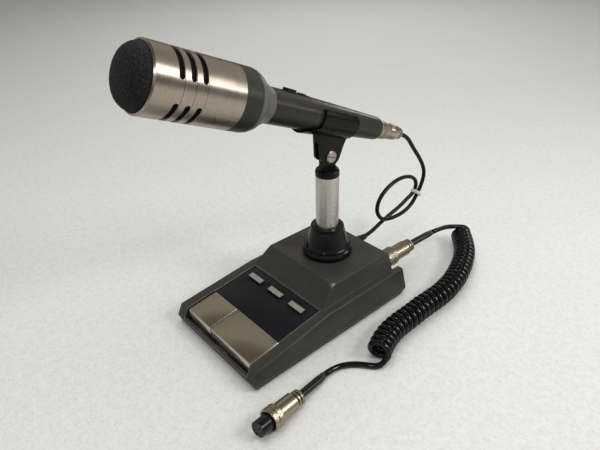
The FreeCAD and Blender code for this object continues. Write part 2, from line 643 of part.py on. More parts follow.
def make_handle():
    start = D["grip_start"]
    end = D["grip_end"]
    tube = turned("handle_tube", [
        (12.2, 93.6), (13.95, 93.6), (13.95, D["collar_end"]), (18.4, D["collar_end"]),
        (16.6, 102), (15.3, 105.5), (D["grip_rad"], start), (14.1, 150), (D["grip_tail_rad"], end),
        (8.85, end), (12.2, 150)], MIC_TURNED)
    finish("mic_handle", cut("mic_handle", tube, [
        block("switch_bed", (-4.3, 118, 13.2), (4.3, 149, 18), MIC),
        block("switch_hole", (-2.4, 123, 9), (2.4, 140, 18), MIC)]))
    plate = block("slide_plate", (-4.3, 118, 13.2), (4.3, 149, 14.25), MIC)
    slot = block("slide_slot", (-2.0, 124.2, 10), (2.0, 139, 18), MIC)
    finish("switch_plate", cut("switch_plate", plate, [slot]))
    thumb = block("thumb", (-3.4, 125, 14.35), (3.4, 134, 16.3), MIC)
    grooves = [block("thumb_groove", (-5, 126.2 + 1.6 * i, 15.8), (5, 126.9 + 1.6 * i, 18), MIC)
               for i in range(5)]
    neck = block("thumb_neck", (-1.8, 126.5, 11.05), (1.8, 132, 14.6), MIC)
    finish("switch_knob", fuse("switch_knob", [cut("thumb_cut", thumb, grooves), neck]))
    finish("switch_body", block("switch_body", (-4.8, 119, 3.5), (4.8, 146, 11.0), MIC))

    finish("mic_socket", turned("mic_socket", [
        (0, 238), (7.5, 238), (8.8, 240), (8.8, end), (9.7, end), (9.7, end + 2.6), (7.0, end + 2.6),
        (7.0, end + 9.5), (6.0, end + 9.5), (6.0, end + 4), (0, end + 4)], MIC_TURNED))


def make_plug(prefix, axis, front, ring, shell_long, ring_rad, shell_rad, clamp_rad, clamp_long,
              nose, cord, taper=0.0):
    """A screw-on plug: coupling ring, shell with its insert, and cord clamp.

    front is where the ring starts, nose the radius that the ring screws over; the shell
    ends shell_long behind the ring and the clamp clamp_long behind the shell.
    """
    neck = shell_rad - 1.0
    seat = front + ring - 3.6
    back = front + ring + 0.2
    tail = back + shell_long
    step = (ring_rad - 0.4)
    ring_body = turned(prefix + "_ring_blank", [
        (nose + 0.1, front), (step, front), (ring_rad, front + 0.6), (ring_rad, front + ring - 0.7),
        (step, front + ring), (neck + 0.1, front + ring), (neck + 0.1, seat + 1.8),
        (nose + 0.1, seat + 1.4)], axis)
    finish(prefix + "_ring", ring_body)
    shell = turned(prefix + "_shell", [
        (cord + 0.05, tail - 12), (0, tail - 12.1), (0, seat - 0.8), (nose, seat - 0.8),
        (nose, seat + 1.2), (neck, seat + 1.7), (neck, back), (shell_rad - 0.3, back),
        (shell_rad, back + 0.4), (shell_rad, tail - 6), (shell_rad - taper, tail),
        (cord + 0.05, tail)], axis)
    finish(prefix + "_shell", shell)
    clamp = turned(prefix + "_clamp", [
        (cord + 0.05, tail), (clamp_rad - 0.4, tail), (clamp_rad, tail + 0.5),
        (clamp_rad, tail + clamp_long - 0.8), (clamp_rad - 0.8, tail + clamp_long),
        (cord + 0.05, tail + clamp_long)], axis)
    finish(prefix + "_clamp", clamp)
    return tail + clamp_long


# ---------------------------------------------------------------- rear connectors

def make_rear():
    end = D["niche_back"]
    finish("cord_gland", turned("cord_gland", [
        (2.2, 176.6), (5.8, 176.6), (5.8, 179), (4.55, 179), (4.55, end), (5.2, end),
        (5.2, end + 2.4), (4.4, end + 3.4), (2.9, end + 15.5), (2.2, end + 15.5)],
        lying(0, D["gland_up"].value)))
    axis = lying(D["socket_right"].value, D["socket_up"].value)
    finish("base_socket", turned("base_socket", [
        (0, 168), (7, 168), (7, 176.8), (9.0, 176.8), (9.0, 179), (8.0, 179), (8.0, 189.4),
        (6.7, 189.4), (6.7, 184), (0, 184)], axis))
    finish("socket_nut", turned("socket_nut", [
        (8.0, end), (10.0, end), (10.0, end + 2.0), (9.6, end + 2.4), (8.0, end + 2.4)], axis))


# ---------------------------------------------------------------- cords

def rounded_path(points):
    """Straight runs joined by tangent arcs as large as the runs allow, and the radii."""
    edges = []
    radii = []
    here = points[0]
    for i in range(1, len(points) - 1):
        before = points[i] - points[i - 1]
        after = points[i + 1] - points[i]
        reach = 0.45 * min(before.Length, after.Length)
        turn = before.getAngle(after)
        into = Vector(before).normalize()
        out = Vector(after).normalize()
        radius = reach / math.tan(turn / 2)
        start = points[i] - into * reach
        end = points[i] + out * reach
        inward = (out - into).normalize()
        centre = points[i] + inward * (radius / math.cos(turn / 2))
        middle = centre - inward * radius
        edges.append(Part.LineSegment(here, start).toShape())
        edges.append(Part.Arc(start, middle, end).toShape())
        radii.append(radius)
        here = end
    edges.append(Part.LineSegment(here, points[-1]).toShape())
    return Part.Wire(edges), radii


def make_cord(name, spots, radius):
    """A round cord along a route of points."""
    points = [Vector(*spot) for spot in spots]
    wire, radii = rounded_path(points)
    path = doc.addObject("Part::Feature", name + "_path")
    path.Shape = wire
    section = doc.addObject("Part::Circle", name + "_section")
    bind(section, "Radius", radius)
    section.Placement = Placement(points[0], Rotation(Z_AXIS, points[1] - points[0]))
    sweep = doc.addObject("Part::Sweep", name)
    sweep.Sections = [section]
    sweep.Spine = (path, ["Edge%d" % (i + 1) for i in range(len(wire.Edges))])
    sweep.Solid = True
    sweep.Frenet = False
    cords.append((sweep, wire.Length, value_of(radius), radii))
    return finish(name, sweep)


cords = []

# Routes, from one end to the other. Runs and turns are uneven, as in a cord at rest.
MIC_CORD_UPPER = [
    (0.0, 236.3, 145.7), (0.0, 253.5, 139.2), (0.0, 268.5, 119.5), (0.3, 285.0, 99.5),
    (1.0, 292.0, 84.0), (1.9, 288.0, 71.5), (2.2, 282.9, 64.9)]
MIC_CORD_LOWER = [
    (2.2, 282.9, 64.9), (2.5, 277.8, 58.3), (2.6, 269.5, 50.0), (2.7, 255.0, 45.8),
    (2.7, 236.0, 46.6), (2.6, 219.0, 52.0), (1.9, 210.8, 66.0), (1.1, 216.5, 79.3),
    (0.3, 233.5, 88.3), (-0.5, 252.5, 90.0), (-1.3, 269.0, 85.6), (-1.9, 278.8, 79.0),
    (-2.3, 282.8, 72.0), (-2.4, 282.4, 65.3), (-2.4, 277.3, 60.2), (-2.4, 268.0, 57.0),
    (-2.4, 257.0, 52.2), (-2.4, 242.0, 48.6), (-2.3, 226.0, 44.4), (-0.9, 210.0, 40.4),
    (0.0, 197.0, 39.3), (0.0, 186.0, 39.1)]
BASE_SLEEVE = [(39.5, 217.0, 35.5), (39.5, 240.0, 35.5), (38.7, 262.0, 33.3)]
LEAD_BASE = [(38.7, 262.0, 33.3), (38.1, 278.0, 31.3), (38.4, 295.0, 27.0),
             (41.0, 309.0, 22.4), (46.5, 318.0, 20.4)]
COIL = [(42.0, 317.0, 11.6), (50.8, 307.8, 11.6), (64.5, 292.2, 11.6), (74.2, 276.8, 11.6),
        (83.9, 254.8, 11.6), (90.7, 234.2, 11.6), (94.6, 211.8, 11.6), (94.9, 194.0, 11.6),
        (94.4, 176.2, 11.6), (95.3, 158.0, 11.6), (95.1, 141.5, 11.6), (96.8, 125.6, 11.6),
        (101.1, 110.9, 11.6), (107.5, 98.0, 11.6)]
LEAD_PLUG = [(112.4, 103.5, 5.6), (112.9, 95.2, 3.4), (105.3, 89.8, 2.7), (95.5, 82.2, 2.7),
             (89.0, 71.6, 2.8), (87.0, 61.8, 3.2), (87.8, 53.0, 4.0)]
PLUG_SLEEVE = [(93.27, 15.5, 7.76), (91.6, 30.3, 6.4), (87.8, 53.0, 4.0)]
PLUG_FRONT = Vector(97.9, -25.1, 11.45)
PLUG_AIM = Vector(-0.113, 0.9895, -0.09)


def make_cords():
    make_cord("mic_cord_upper", MIC_CORD_UPPER, D["cord_rad"])
    make_cord("mic_cord_lower", MIC_CORD_LOWER, D["cord_rad"])
    make_cord("base_sleeve", BASE_SLEEVE, D["sleeve_rad"])
    make_cord("curly_lead_base", LEAD_BASE, D["curly_rad"])
    make_cord("curly_coil", COIL, D["coil_rad"])
    make_cord("curly_lead_plug", LEAD_PLUG, D["curly_rad"])
    make_cord("plug_sleeve", PLUG_SLEEVE, D["sleeve_rad"])

    # cable tie round the two strands of the hanging loop
    knot = Placement(Vector(0, 280.6, 62.4), Rotation(Z_AXIS, Vector(0, 0.65, 0.76)))
    band = turned("tie_band", [(4.9, -1.2), (5.9, -1.2), (5.9, 1.2), (4.9, 1.2)], knot)
    lock = block("tie_lock", (-2.4, 5.3, -2.3), (2.4, 8.6, 2.3), knot)
    tail = block("tie_tail", (-0.6, 8.0, -1.0), (0.6, 13.0, 1.0), knot)
    finish("cable_tie", fuse("cable_tie", [band, lock, tail]))


def make_plugs():
    base_axis = lying(D["socket_right"].value, D["socket_up"].value)
    make_plug("base_plug", base_axis, 184.2, 11.3, 18.8, 9.5, 7.9, 6.8, 9.0, 8.0, 3.5)
    make_plug("mic_plug", MIC_TURNED, 250.3, 12.2, 20.3, 9.0, 7.6, 5.3, 5.5, 7.0, 2.15, 1.2)
    free = Placement(PLUG_FRONT, Rotation(Z_AXIS, PLUG_AIM))
    make_plug("plug", free, 11.5, 9.6, 17.0, 9.5, 7.8, 6.9, 8.6, 8.0, 3.5)
    insert = turned("insert_blank", [
        (0, 0.4), (5.6, 0.4), (5.9, 0.0), (6.4, 0.0), (6.6, 0.3), (6.6, 16.7), (0, 16.7)], free)
    wells = []
    for i in range(7):
        angle = math.radians(360.0 / 7 * i)
        x, y = 4.0 * math.cos(angle), 4.0 * math.sin(angle)
        wells.append(rod("pin_well", 0.7, (x, y, -1), Z_AXIS, 6, free))
    wells.append(rod("pin_well", 0.7, (0, 0, -1), Z_AXIS, 6, free))
    wells.append(block("key_way", (-0.9, 5.7, -1), (0.9, 8, 8), free))
    finish("plug_insert", cut("plug_insert", insert, wells))


# ---------------------------------------------------------------- everything

make_case()
make_bottom()
make_panel()
make_bars()
make_stem()
make_clip()
make_head()
make_handle()
make_rear()
make_plugs()
make_cords()
doc.recompute()

# the origin goes under the middle of the base
for node in nodes:
    back = node.Placement.Base.y
    node.setExpression("Placement.Base.y", "%r - sizes.case_long / 2" % back)
doc.recompute()

faults = [thing.Label for thing in doc.Objects
          if "Invalid" in thing.State or "Error" in thing.State]
faults += [node.Label + " shape" for node in nodes
           if node.Shape.isNull() or not node.Shape.isValid() or node.Shape.Volume <= 0]
if faults:
    raise RuntimeError("failed: " + ", ".join(faults))

for sweep, length, radius, radii in cords:
    whole = math.pi * radius * radius * length
    print("%s: length %.1f, volume %.3f of section x length, bends %s diameters" % (
        sweep.Label, length, sweep.Shape.Volume / whole,
        " ".join("%.1f" % (bend / (2 * radius)) for bend in radii)))

os.makedirs("parts", exist_ok=True)
for node in nodes:
    node.Shape.exportStep("parts/%s.step" % node.Label)
print("%d sub-parts written" % len(nodes))
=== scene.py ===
"""Looks of the desk microphone: finishes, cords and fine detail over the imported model.

Metres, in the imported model's frame: X to the right of a person facing the bars, Y to
the rear, Z up, with the origin on the table under the middle of the base.
"""
import bpy
import bmesh
import json
import math
import random
from mathutils import Matrix, Vector, noise
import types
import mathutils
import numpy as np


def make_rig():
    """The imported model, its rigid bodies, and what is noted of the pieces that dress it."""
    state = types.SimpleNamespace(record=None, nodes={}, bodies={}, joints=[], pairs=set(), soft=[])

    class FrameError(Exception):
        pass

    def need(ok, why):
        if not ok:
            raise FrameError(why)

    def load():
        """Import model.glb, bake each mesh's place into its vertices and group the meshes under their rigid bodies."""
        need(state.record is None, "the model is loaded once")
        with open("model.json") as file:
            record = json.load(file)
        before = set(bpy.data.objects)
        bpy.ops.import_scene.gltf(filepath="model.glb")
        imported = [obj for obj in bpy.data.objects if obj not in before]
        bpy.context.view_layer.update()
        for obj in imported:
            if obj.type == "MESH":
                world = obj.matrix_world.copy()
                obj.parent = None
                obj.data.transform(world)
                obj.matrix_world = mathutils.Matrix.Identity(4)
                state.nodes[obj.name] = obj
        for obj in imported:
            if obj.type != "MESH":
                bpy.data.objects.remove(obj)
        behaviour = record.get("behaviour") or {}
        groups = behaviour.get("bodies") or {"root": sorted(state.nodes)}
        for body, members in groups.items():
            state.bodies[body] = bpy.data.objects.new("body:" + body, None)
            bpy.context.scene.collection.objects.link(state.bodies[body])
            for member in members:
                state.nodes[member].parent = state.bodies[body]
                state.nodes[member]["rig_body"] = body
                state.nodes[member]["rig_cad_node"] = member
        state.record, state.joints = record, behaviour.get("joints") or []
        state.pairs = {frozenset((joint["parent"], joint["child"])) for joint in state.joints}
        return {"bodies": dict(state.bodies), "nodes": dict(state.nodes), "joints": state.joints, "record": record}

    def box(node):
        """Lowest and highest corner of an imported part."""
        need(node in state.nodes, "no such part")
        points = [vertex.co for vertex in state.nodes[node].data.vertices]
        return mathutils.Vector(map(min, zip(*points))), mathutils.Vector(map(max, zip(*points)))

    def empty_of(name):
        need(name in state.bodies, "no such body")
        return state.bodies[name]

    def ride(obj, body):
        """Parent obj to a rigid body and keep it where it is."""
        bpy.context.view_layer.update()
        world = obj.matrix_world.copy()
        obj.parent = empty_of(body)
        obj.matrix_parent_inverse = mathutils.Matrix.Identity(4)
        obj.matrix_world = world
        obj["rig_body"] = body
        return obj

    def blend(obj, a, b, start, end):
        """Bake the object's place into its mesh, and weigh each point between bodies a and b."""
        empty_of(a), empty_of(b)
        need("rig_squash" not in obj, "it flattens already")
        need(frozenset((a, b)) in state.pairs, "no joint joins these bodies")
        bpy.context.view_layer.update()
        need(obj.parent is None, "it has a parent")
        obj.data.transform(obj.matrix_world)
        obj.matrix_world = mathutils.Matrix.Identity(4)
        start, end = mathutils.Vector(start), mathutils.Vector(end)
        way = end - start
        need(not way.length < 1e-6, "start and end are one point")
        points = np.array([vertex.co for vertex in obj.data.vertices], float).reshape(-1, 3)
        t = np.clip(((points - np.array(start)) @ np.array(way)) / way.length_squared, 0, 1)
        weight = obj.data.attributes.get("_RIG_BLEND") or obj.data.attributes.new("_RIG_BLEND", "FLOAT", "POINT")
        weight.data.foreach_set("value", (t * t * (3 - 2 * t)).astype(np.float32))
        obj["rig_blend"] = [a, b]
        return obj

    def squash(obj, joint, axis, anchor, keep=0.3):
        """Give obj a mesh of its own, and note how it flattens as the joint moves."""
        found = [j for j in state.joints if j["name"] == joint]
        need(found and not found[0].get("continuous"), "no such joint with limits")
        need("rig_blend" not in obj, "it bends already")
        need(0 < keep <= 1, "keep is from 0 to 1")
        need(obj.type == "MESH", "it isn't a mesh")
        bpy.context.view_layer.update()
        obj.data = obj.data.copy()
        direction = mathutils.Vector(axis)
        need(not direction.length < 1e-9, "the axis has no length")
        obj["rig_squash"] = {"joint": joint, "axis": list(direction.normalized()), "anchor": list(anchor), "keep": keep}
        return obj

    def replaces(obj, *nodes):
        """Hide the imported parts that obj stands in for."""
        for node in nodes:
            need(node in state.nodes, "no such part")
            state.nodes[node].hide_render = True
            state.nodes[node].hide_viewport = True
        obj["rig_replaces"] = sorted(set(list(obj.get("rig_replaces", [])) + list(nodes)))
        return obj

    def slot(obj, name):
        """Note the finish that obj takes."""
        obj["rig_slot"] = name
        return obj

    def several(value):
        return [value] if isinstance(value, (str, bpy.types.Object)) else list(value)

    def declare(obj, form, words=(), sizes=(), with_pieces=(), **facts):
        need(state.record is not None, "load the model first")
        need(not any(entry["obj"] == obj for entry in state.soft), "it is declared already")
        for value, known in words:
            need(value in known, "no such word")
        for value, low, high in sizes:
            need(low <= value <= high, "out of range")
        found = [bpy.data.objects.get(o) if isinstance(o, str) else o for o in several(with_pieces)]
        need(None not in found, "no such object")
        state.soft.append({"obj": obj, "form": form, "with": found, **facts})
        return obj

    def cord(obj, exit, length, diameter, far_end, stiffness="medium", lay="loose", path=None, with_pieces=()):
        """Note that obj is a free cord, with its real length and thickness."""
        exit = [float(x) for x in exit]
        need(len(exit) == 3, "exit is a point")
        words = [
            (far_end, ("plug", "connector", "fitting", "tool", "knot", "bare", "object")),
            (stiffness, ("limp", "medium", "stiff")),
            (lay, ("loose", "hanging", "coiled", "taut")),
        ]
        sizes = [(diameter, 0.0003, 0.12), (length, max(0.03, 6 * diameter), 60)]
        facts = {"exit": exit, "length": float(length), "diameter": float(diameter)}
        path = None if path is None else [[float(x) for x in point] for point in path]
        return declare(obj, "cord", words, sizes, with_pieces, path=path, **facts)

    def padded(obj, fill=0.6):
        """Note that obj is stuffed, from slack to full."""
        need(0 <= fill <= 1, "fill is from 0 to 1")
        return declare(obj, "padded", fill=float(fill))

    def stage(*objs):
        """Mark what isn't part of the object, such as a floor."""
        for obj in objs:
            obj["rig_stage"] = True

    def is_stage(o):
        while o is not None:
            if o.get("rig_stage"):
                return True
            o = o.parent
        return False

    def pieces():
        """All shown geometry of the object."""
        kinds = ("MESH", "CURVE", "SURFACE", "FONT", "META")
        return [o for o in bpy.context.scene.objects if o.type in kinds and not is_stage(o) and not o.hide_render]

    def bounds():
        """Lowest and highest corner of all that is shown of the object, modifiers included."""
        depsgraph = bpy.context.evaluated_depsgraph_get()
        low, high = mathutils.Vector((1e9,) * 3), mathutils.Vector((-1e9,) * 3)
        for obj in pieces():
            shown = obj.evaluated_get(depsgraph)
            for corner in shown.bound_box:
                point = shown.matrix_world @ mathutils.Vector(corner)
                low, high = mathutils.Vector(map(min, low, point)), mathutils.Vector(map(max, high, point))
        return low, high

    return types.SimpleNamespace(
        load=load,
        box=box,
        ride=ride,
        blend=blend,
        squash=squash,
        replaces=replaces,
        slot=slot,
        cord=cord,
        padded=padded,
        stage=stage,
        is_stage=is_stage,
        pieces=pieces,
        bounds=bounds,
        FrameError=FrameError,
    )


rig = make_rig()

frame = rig.load()
cad_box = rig.bounds()
scene = bpy.context.scene
nodes = frame["nodes"]
MM = 0.001
UP = Vector((0, 0, 1))
RIGHT = Vector((1, 0, 0))
HALF_LENGTH = 96.5


def row(x, y, z):
    """A frame point from the layout's millimetres, where Y starts at the base's front edge."""
    return Vector((x, y - HALF_LENGTH, z)) * MM


# ---------------------------------------------------------------- camera

CAMERA_SPOT = (0.3159, -0.2601, 0.3434)
CAMERA_TURNS = (49.50, 31.22, -1.73)
CAMERA_LENS = 31.55


def aim_camera():
    """The photograph's camera, solved from the edges of the base."""
    yaw, pitch, roll = (math.radians(turn) for turn in CAMERA_TURNS)
    forward = Vector((-math.sin(yaw) * math.cos(pitch), math.cos(yaw) * math.cos(pitch),
                      -math.sin(pitch)))
    right = Vector((math.cos(yaw), math.sin(yaw), 0))
    up = right.cross(forward)
    side = right * math.cos(roll) + up * math.sin(roll)
    top = -right * math.sin(roll) + up * math.cos(roll)
    data = bpy.data.cameras.new("camera")
    data.lens = CAMERA_LENS
    data.sensor_width = 36
    data.clip_start = 0.01
    camera = bpy.data.objects.new("camera", data)
    turn = Matrix((side, top, -forward)).transposed()
    camera.matrix_world = Matrix.Translation(CAMERA_SPOT) @ turn.to_4x4()
    scene.collection.objects.link(camera)
    scene.camera = camera


aim_camera()


# ---------------------------------------------------------------- mesh helpers

def add_mesh(name, verts, faces):
    data = bpy.data.meshes.new(name)
    data.from_pydata([tuple(v) for v in verts], [], faces)
    data.validate()
    thing = bpy.data.objects.new(name, data)
    scene.collection.objects.link(thing)
    data.shade_smooth()
    return thing


def spline_points(spots, fineness=8):
    """Points along the smooth NURBS line that has these control points."""
    data = bpy.data.curves.new("line", "CURVE")
    data.dimensions = "3D"
    data.resolution_u = fineness
    spline = data.splines.new("NURBS")
    spline.points.add(len(spots) - 1)
    for point, spot in zip(spline.points, spots):
        point.co = (*spot, 1)
    spline.order_u = 3
    spline.use_endpoint_u = True
    holder = bpy.data.objects.new("line", data)
    scene.collection.objects.link(holder)
    bpy.context.view_layer.update()
    ready = bpy.data.meshes.new_from_object(holder)
    points = [v.co.copy() for v in ready.vertices]
    bpy.data.objects.remove(holder)
    bpy.data.curves.remove(data)
    bpy.data.meshes.remove(ready)
    return points


def frames_along(points, start=UP):
    """Tangent and two cross directions at each point, carried along without twisting."""
    tangents = []
    for i in range(len(points)):
        ahead = points[min(i + 1, len(points) - 1)]
        behind = points[max(i - 1, 0)]
        tangents.append((ahead - behind).normalized())
    side = start.cross(tangents[0])
    if side.length < 1e-3:
        side = RIGHT.cross(tangents[0])
    side.normalize()
    frames = []
    for i, tangent in enumerate(tangents):
        if i:
            side = tangents[i - 1].rotation_difference(tangent) @ side
            side = (side - tangent * side.dot(tangent)).normalized()
        frames.append((tangent, side, tangent.cross(side)))
    return frames


def travelled(points):
    """The distance from the first point to each point."""
    total = [0.0]
    for a, b in zip(points, points[1:]):
        total.append(total[-1] + (b - a).length)
    return total


def tube(name, points, radius, around=14, shape=None):
    """A round tube along points, with flat ends.

    radius is a number or a function of the distance travelled, and shape(distance, angle)
    may add to it.
    """
    frames = frames_along(points)
    along = travelled(points)
    verts, faces = [], []
    for i, (point, (_, side, other)) in enumerate(zip(points, frames)):
        for k in range(around):
            angle = 2 * math.pi * k / around
            size = radius(along[i]) if callable(radius) else radius
            if shape:
                size += shape(along[i], angle)
            verts.append(point + (side * math.cos(angle) + other * math.sin(angle)) * size)
    for i in range(len(points) - 1):
        for k in range(around):
            a, b = i * around + k, i * around + (k + 1) % around
            faces.append((a, b, b + around, a + around))
    faces.append(tuple(reversed(range(around))))
    faces.append(tuple(range((len(points) - 1) * around, len(points) * around)))
    return add_mesh(name, verts, faces)


def lathe(name, profile, origin, axis, around, shape=None):
    """A closed profile of (radius, distance) in millimetres turned about an axis.

    shape(index, angle, radius) may change a radius, for knurling and facets.
    """
    side = UP.cross(axis).normalized()
    other = axis.cross(side)
    verts, faces = [], []
    count = len(profile)
    for k in range(around):
        angle = 2 * math.pi * k / around
        ray = side * math.cos(angle) + other * math.sin(angle)
        for i, (radius, far) in enumerate(profile):
            if shape:
                radius = shape(i, angle, radius)
            verts.append(origin + (axis * far + ray * radius) * MM)
    for k in range(around):
        n = (k + 1) % around
        for i in range(count):
            j = (i + 1) % count
            faces.append((k * count + i, k * count + j, n * count + j, n * count + i))
    thing = add_mesh(name, verts, faces)
    weld(thing)
    return thing


def weld(thing, reach=1e-6):
    """Joins points that lie on each other, and turns every face outwards."""
    shape = bmesh.new()
    shape.from_mesh(thing.data)
    bmesh.ops.remove_doubles(shape, verts=shape.verts, dist=reach)
    bmesh.ops.recalc_face_normals(shape, faces=shape.faces)
    shape.to_mesh(thing.data)
    shape.free()


def sharpen(thing, degrees):
    """Smooth shading that keeps creases sharper than an angle."""
    thing.data.shade_smooth()
    thing.data.set_sharp_from_angle(angle=math.radians(degrees))
    return thing


def soften_edges(thing, width, segments=2, degrees=35.0):
    """A small round on every crease, as machining and tumbling leave it."""
    join = thing.modifiers.new("join", "WELD")
    join.merge_threshold = 2e-6
    bevel = thing.modifiers.new("edges", "BEVEL")
    bevel.width = width
    bevel.segments = segments
    bevel.limit_method = "ANGLE"
    bevel.angle_limit = math.radians(degrees)
    bevel.harden_normals = True
    bevel.use_clamp_overlap = True


# ---------------------------------------------------------------- microphone frame

TILT = math.radians(22.7)
MIC_FRONT = row(0, -25.7, 255.3)
MIC_AXIS = Vector((0, math.cos(TILT), -math.sin(TILT)))
MIC_UP = Vector((0, math.sin(TILT), math.cos(TILT)))


def on_mic(x, along, up):
    """A point from the microphone's own measures: right, back from the rim, up from the axis."""
    return MIC_FRONT + (RIGHT * x + MIC_AXIS * along + MIC_UP * up) * MM


PLUG_FRONT = row(97.9, -25.1, 11.45)
PLUG_AXIS = Vector((-0.113, 0.9895, -0.09)).normalized()
SOCKET = row(39.5, 0, 35.5)
BACK = Vector((0, 1, 0))

# ---------------------------------------------------------------- cords

MIC_CORD = [
    (0.0, 236.3, 145.7), (0.0, 253.5, 139.2), (0.0, 268.5, 119.5), (0.3, 285.0, 99.5),
    (1.0, 292.0, 84.0), (1.9, 288.0, 71.5), (2.5, 277.8, 58.3), (2.6, 269.5, 50.0),
    (2.7, 255.0, 45.8), (2.7, 236.0, 46.6), (2.6, 219.0, 52.0), (1.9, 210.8, 66.0),
    (1.1, 216.5, 79.3), (0.3, 233.5, 88.3), (-0.5, 252.5, 90.0), (-1.3, 269.0, 85.6),
    (-1.9, 278.8, 79.0), (-2.3, 282.8, 72.0), (-2.4, 282.4, 65.3), (-2.4, 277.3, 60.2),
    (-2.4, 268.0, 57.0), (-2.4, 257.0, 52.2), (-2.4, 242.0, 48.6), (-2.3, 226.0, 44.4),
    (-0.9, 210.0, 40.4), (0.0, 197.0, 39.3), (0.0, 186.0, 39.1)]
BASE_SLEEVE = [(39.5, 217.0, 35.5), (39.5, 240.0, 35.5), (38.7, 262.0, 33.3)]
LEAD_BASE = [(38.7, 262.0, 33.3), (38.1, 278.0, 31.3), (38.4, 295.0, 27.0),
             (41.0, 309.0, 22.4), (46.5, 318.0, 20.4)]
COIL = [(42.0, 317.0, 11.6), (50.8, 307.8, 11.6), (64.5, 292.2, 11.6), (74.2, 276.8, 11.6),
        (83.9, 254.8, 11.6), (90.7, 234.2, 11.6), (94.6, 211.8, 11.6), (94.9, 194.0, 11.6),
        (94.4, 176.2, 11.6), (95.3, 158.0, 11.6), (95.1, 141.5, 11.6), (96.8, 125.6, 11.6),
        (101.1, 110.9, 11.6), (107.5, 98.0, 11.6)]
LEAD_PLUG = [(112.4, 103.5, 5.6), (112.9, 95.2, 3.4), (105.3, 89.8, 2.7), (95.5, 82.2, 2.7),
             (89.0, 71.6, 2.8), (87.0, 61.8, 3.2), (87.8, 53.0, 4.0)]
PLUG_SLEEVE = [(93.27, 15.5, 7.76), (91.6, 30.3, 6.4), (87.8, 53.0, 4.0)]

CORD_RADIUS = 2.15 * MM
CURLY_RADIUS = 2.6 * MM
COIL_RADIUS = 9.078 * MM
COIL_TURNS = 34
COIL_START = math.radians(41)
COIL_STOP = math.radians(-16 - 360 * COIL_TURNS)
COIL_INSET = (2.9 * MM, 3.3 * MM)
STEPS_A_TURN = 14


def make_mic_cord():
    """The microphone's own lead: out of its plug, through the tied loop, into the gland."""
    points = spline_points([row(*spot) for spot in MIC_CORD], 10)
    piece = tube("mic_cord", points, CORD_RADIUS, 18)
    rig.replaces(piece, "mic_cord_upper", "mic_cord_lower")
    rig.blend(piece, "base", "microphone", row(0, 236, 76), row(0, 236, 141))
    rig.slot(piece, "cord")
    return piece, points


def make_curly_cord():
    """The coiled cord: a helix round the coil's own line, with a straight lead at each end."""
    axis = spline_points([row(*spot) for spot in COIL], 24)
    frames = frames_along(axis)
    along = travelled(axis)
    chance = random.Random(7)
    begin, end = COIL_INSET[0], along[-1] - COIL_INSET[1]
    steps = round((COIL_START - COIL_STOP) / (2 * math.pi) * STEPS_A_TURN)
    drift = [chance.uniform(-1, 1) for _ in range(COIL_TURNS + 3)]
    spots = [row(*spot) for spot in LEAD_BASE]
    here = 0
    for step in range(steps + 1):
        share = step / steps
        turn = share * COIL_TURNS
        lean = drift[int(turn)] * (1 - turn % 1) + drift[int(turn) + 1] * (turn % 1)
        shift = lean * 0.35 * MM * min(1, 8 * share, 8 - 8 * share)
        want = begin + (end - begin) * share + shift
        while here < len(along) - 2 and along[here + 1] < want:
            here += 1
        part = (want - along[here]) / (along[here + 1] - along[here])
        centre = axis[here].lerp(axis[here + 1], part)
        tangent = frames[here][0]
        across = UP.cross(tangent).normalized()
        rise = tangent.cross(across)
        angle = COIL_START + (COIL_STOP - COIL_START) * share
        size = COIL_RADIUS + lean * 0.12 * MM
        spots.append(centre + (across * math.cos(angle) + rise * math.sin(angle)) * size)
    spots += [row(*spot) for spot in LEAD_PLUG]
    points = spline_points(spots, 3)
    piece = tube("curly_cord", points, CURLY_RADIUS, 14)
    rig.replaces(piece, "curly_lead_base", "curly_coil", "curly_lead_plug")
    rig.ride(piece, "base")
    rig.slot(piece, "cord")
    return piece, points


def make_sleeve(name, route, flip):
    """Shrunk tubing in two layers over a cord, with the glue that has crept out at its end."""
    points = spline_points([row(*spot) for spot in route], 16)
    if flip:
        points.reverse()
    reach = travelled(points)[-1]

    def radius(far):
        """A rounded lip at the end, then the outer layer, then a step up to the root."""
        left = (reach - far) / MM
        if left < 1.0:
            return (2.75 + 0.25 * left) * MM
        if left < 1.5:
            return 3.05 * MM
        if left < 5.5:
            return 3.2 * MM
        return 3.48 * MM if left > 6.0 else (3.2 + 0.56 * (left - 5.5)) * MM

    fine = []
    for a, b in zip(points, points[1:]):
        fine += [a.lerp(b, k / 4) for k in range(4)]
    fine.append(points[-1])

    def waves(far, angle):
        return 0.05 * MM * math.sin(far / MM * 0.9 + 2 * math.sin(angle)) * math.cos(2 * angle)

    piece = tube(name, fine, radius, 24, waves)
    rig.replaces(piece, name.replace("_cover", ""))
    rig.ride(piece, "base")
    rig.slot(piece, "cord")
    return piece


mic_cord, mic_points = make_mic_cord()
curly_cord, curly_points = make_curly_cord()
base_sleeve = make_sleeve("base_sleeve_cover", BASE_SLEEVE, False)
plug_sleeve = make_sleeve("plug_sleeve_cover", PLUG_SLEEVE, False)


# ---------------------------------------------------------------- connectors

KNURLS = 56


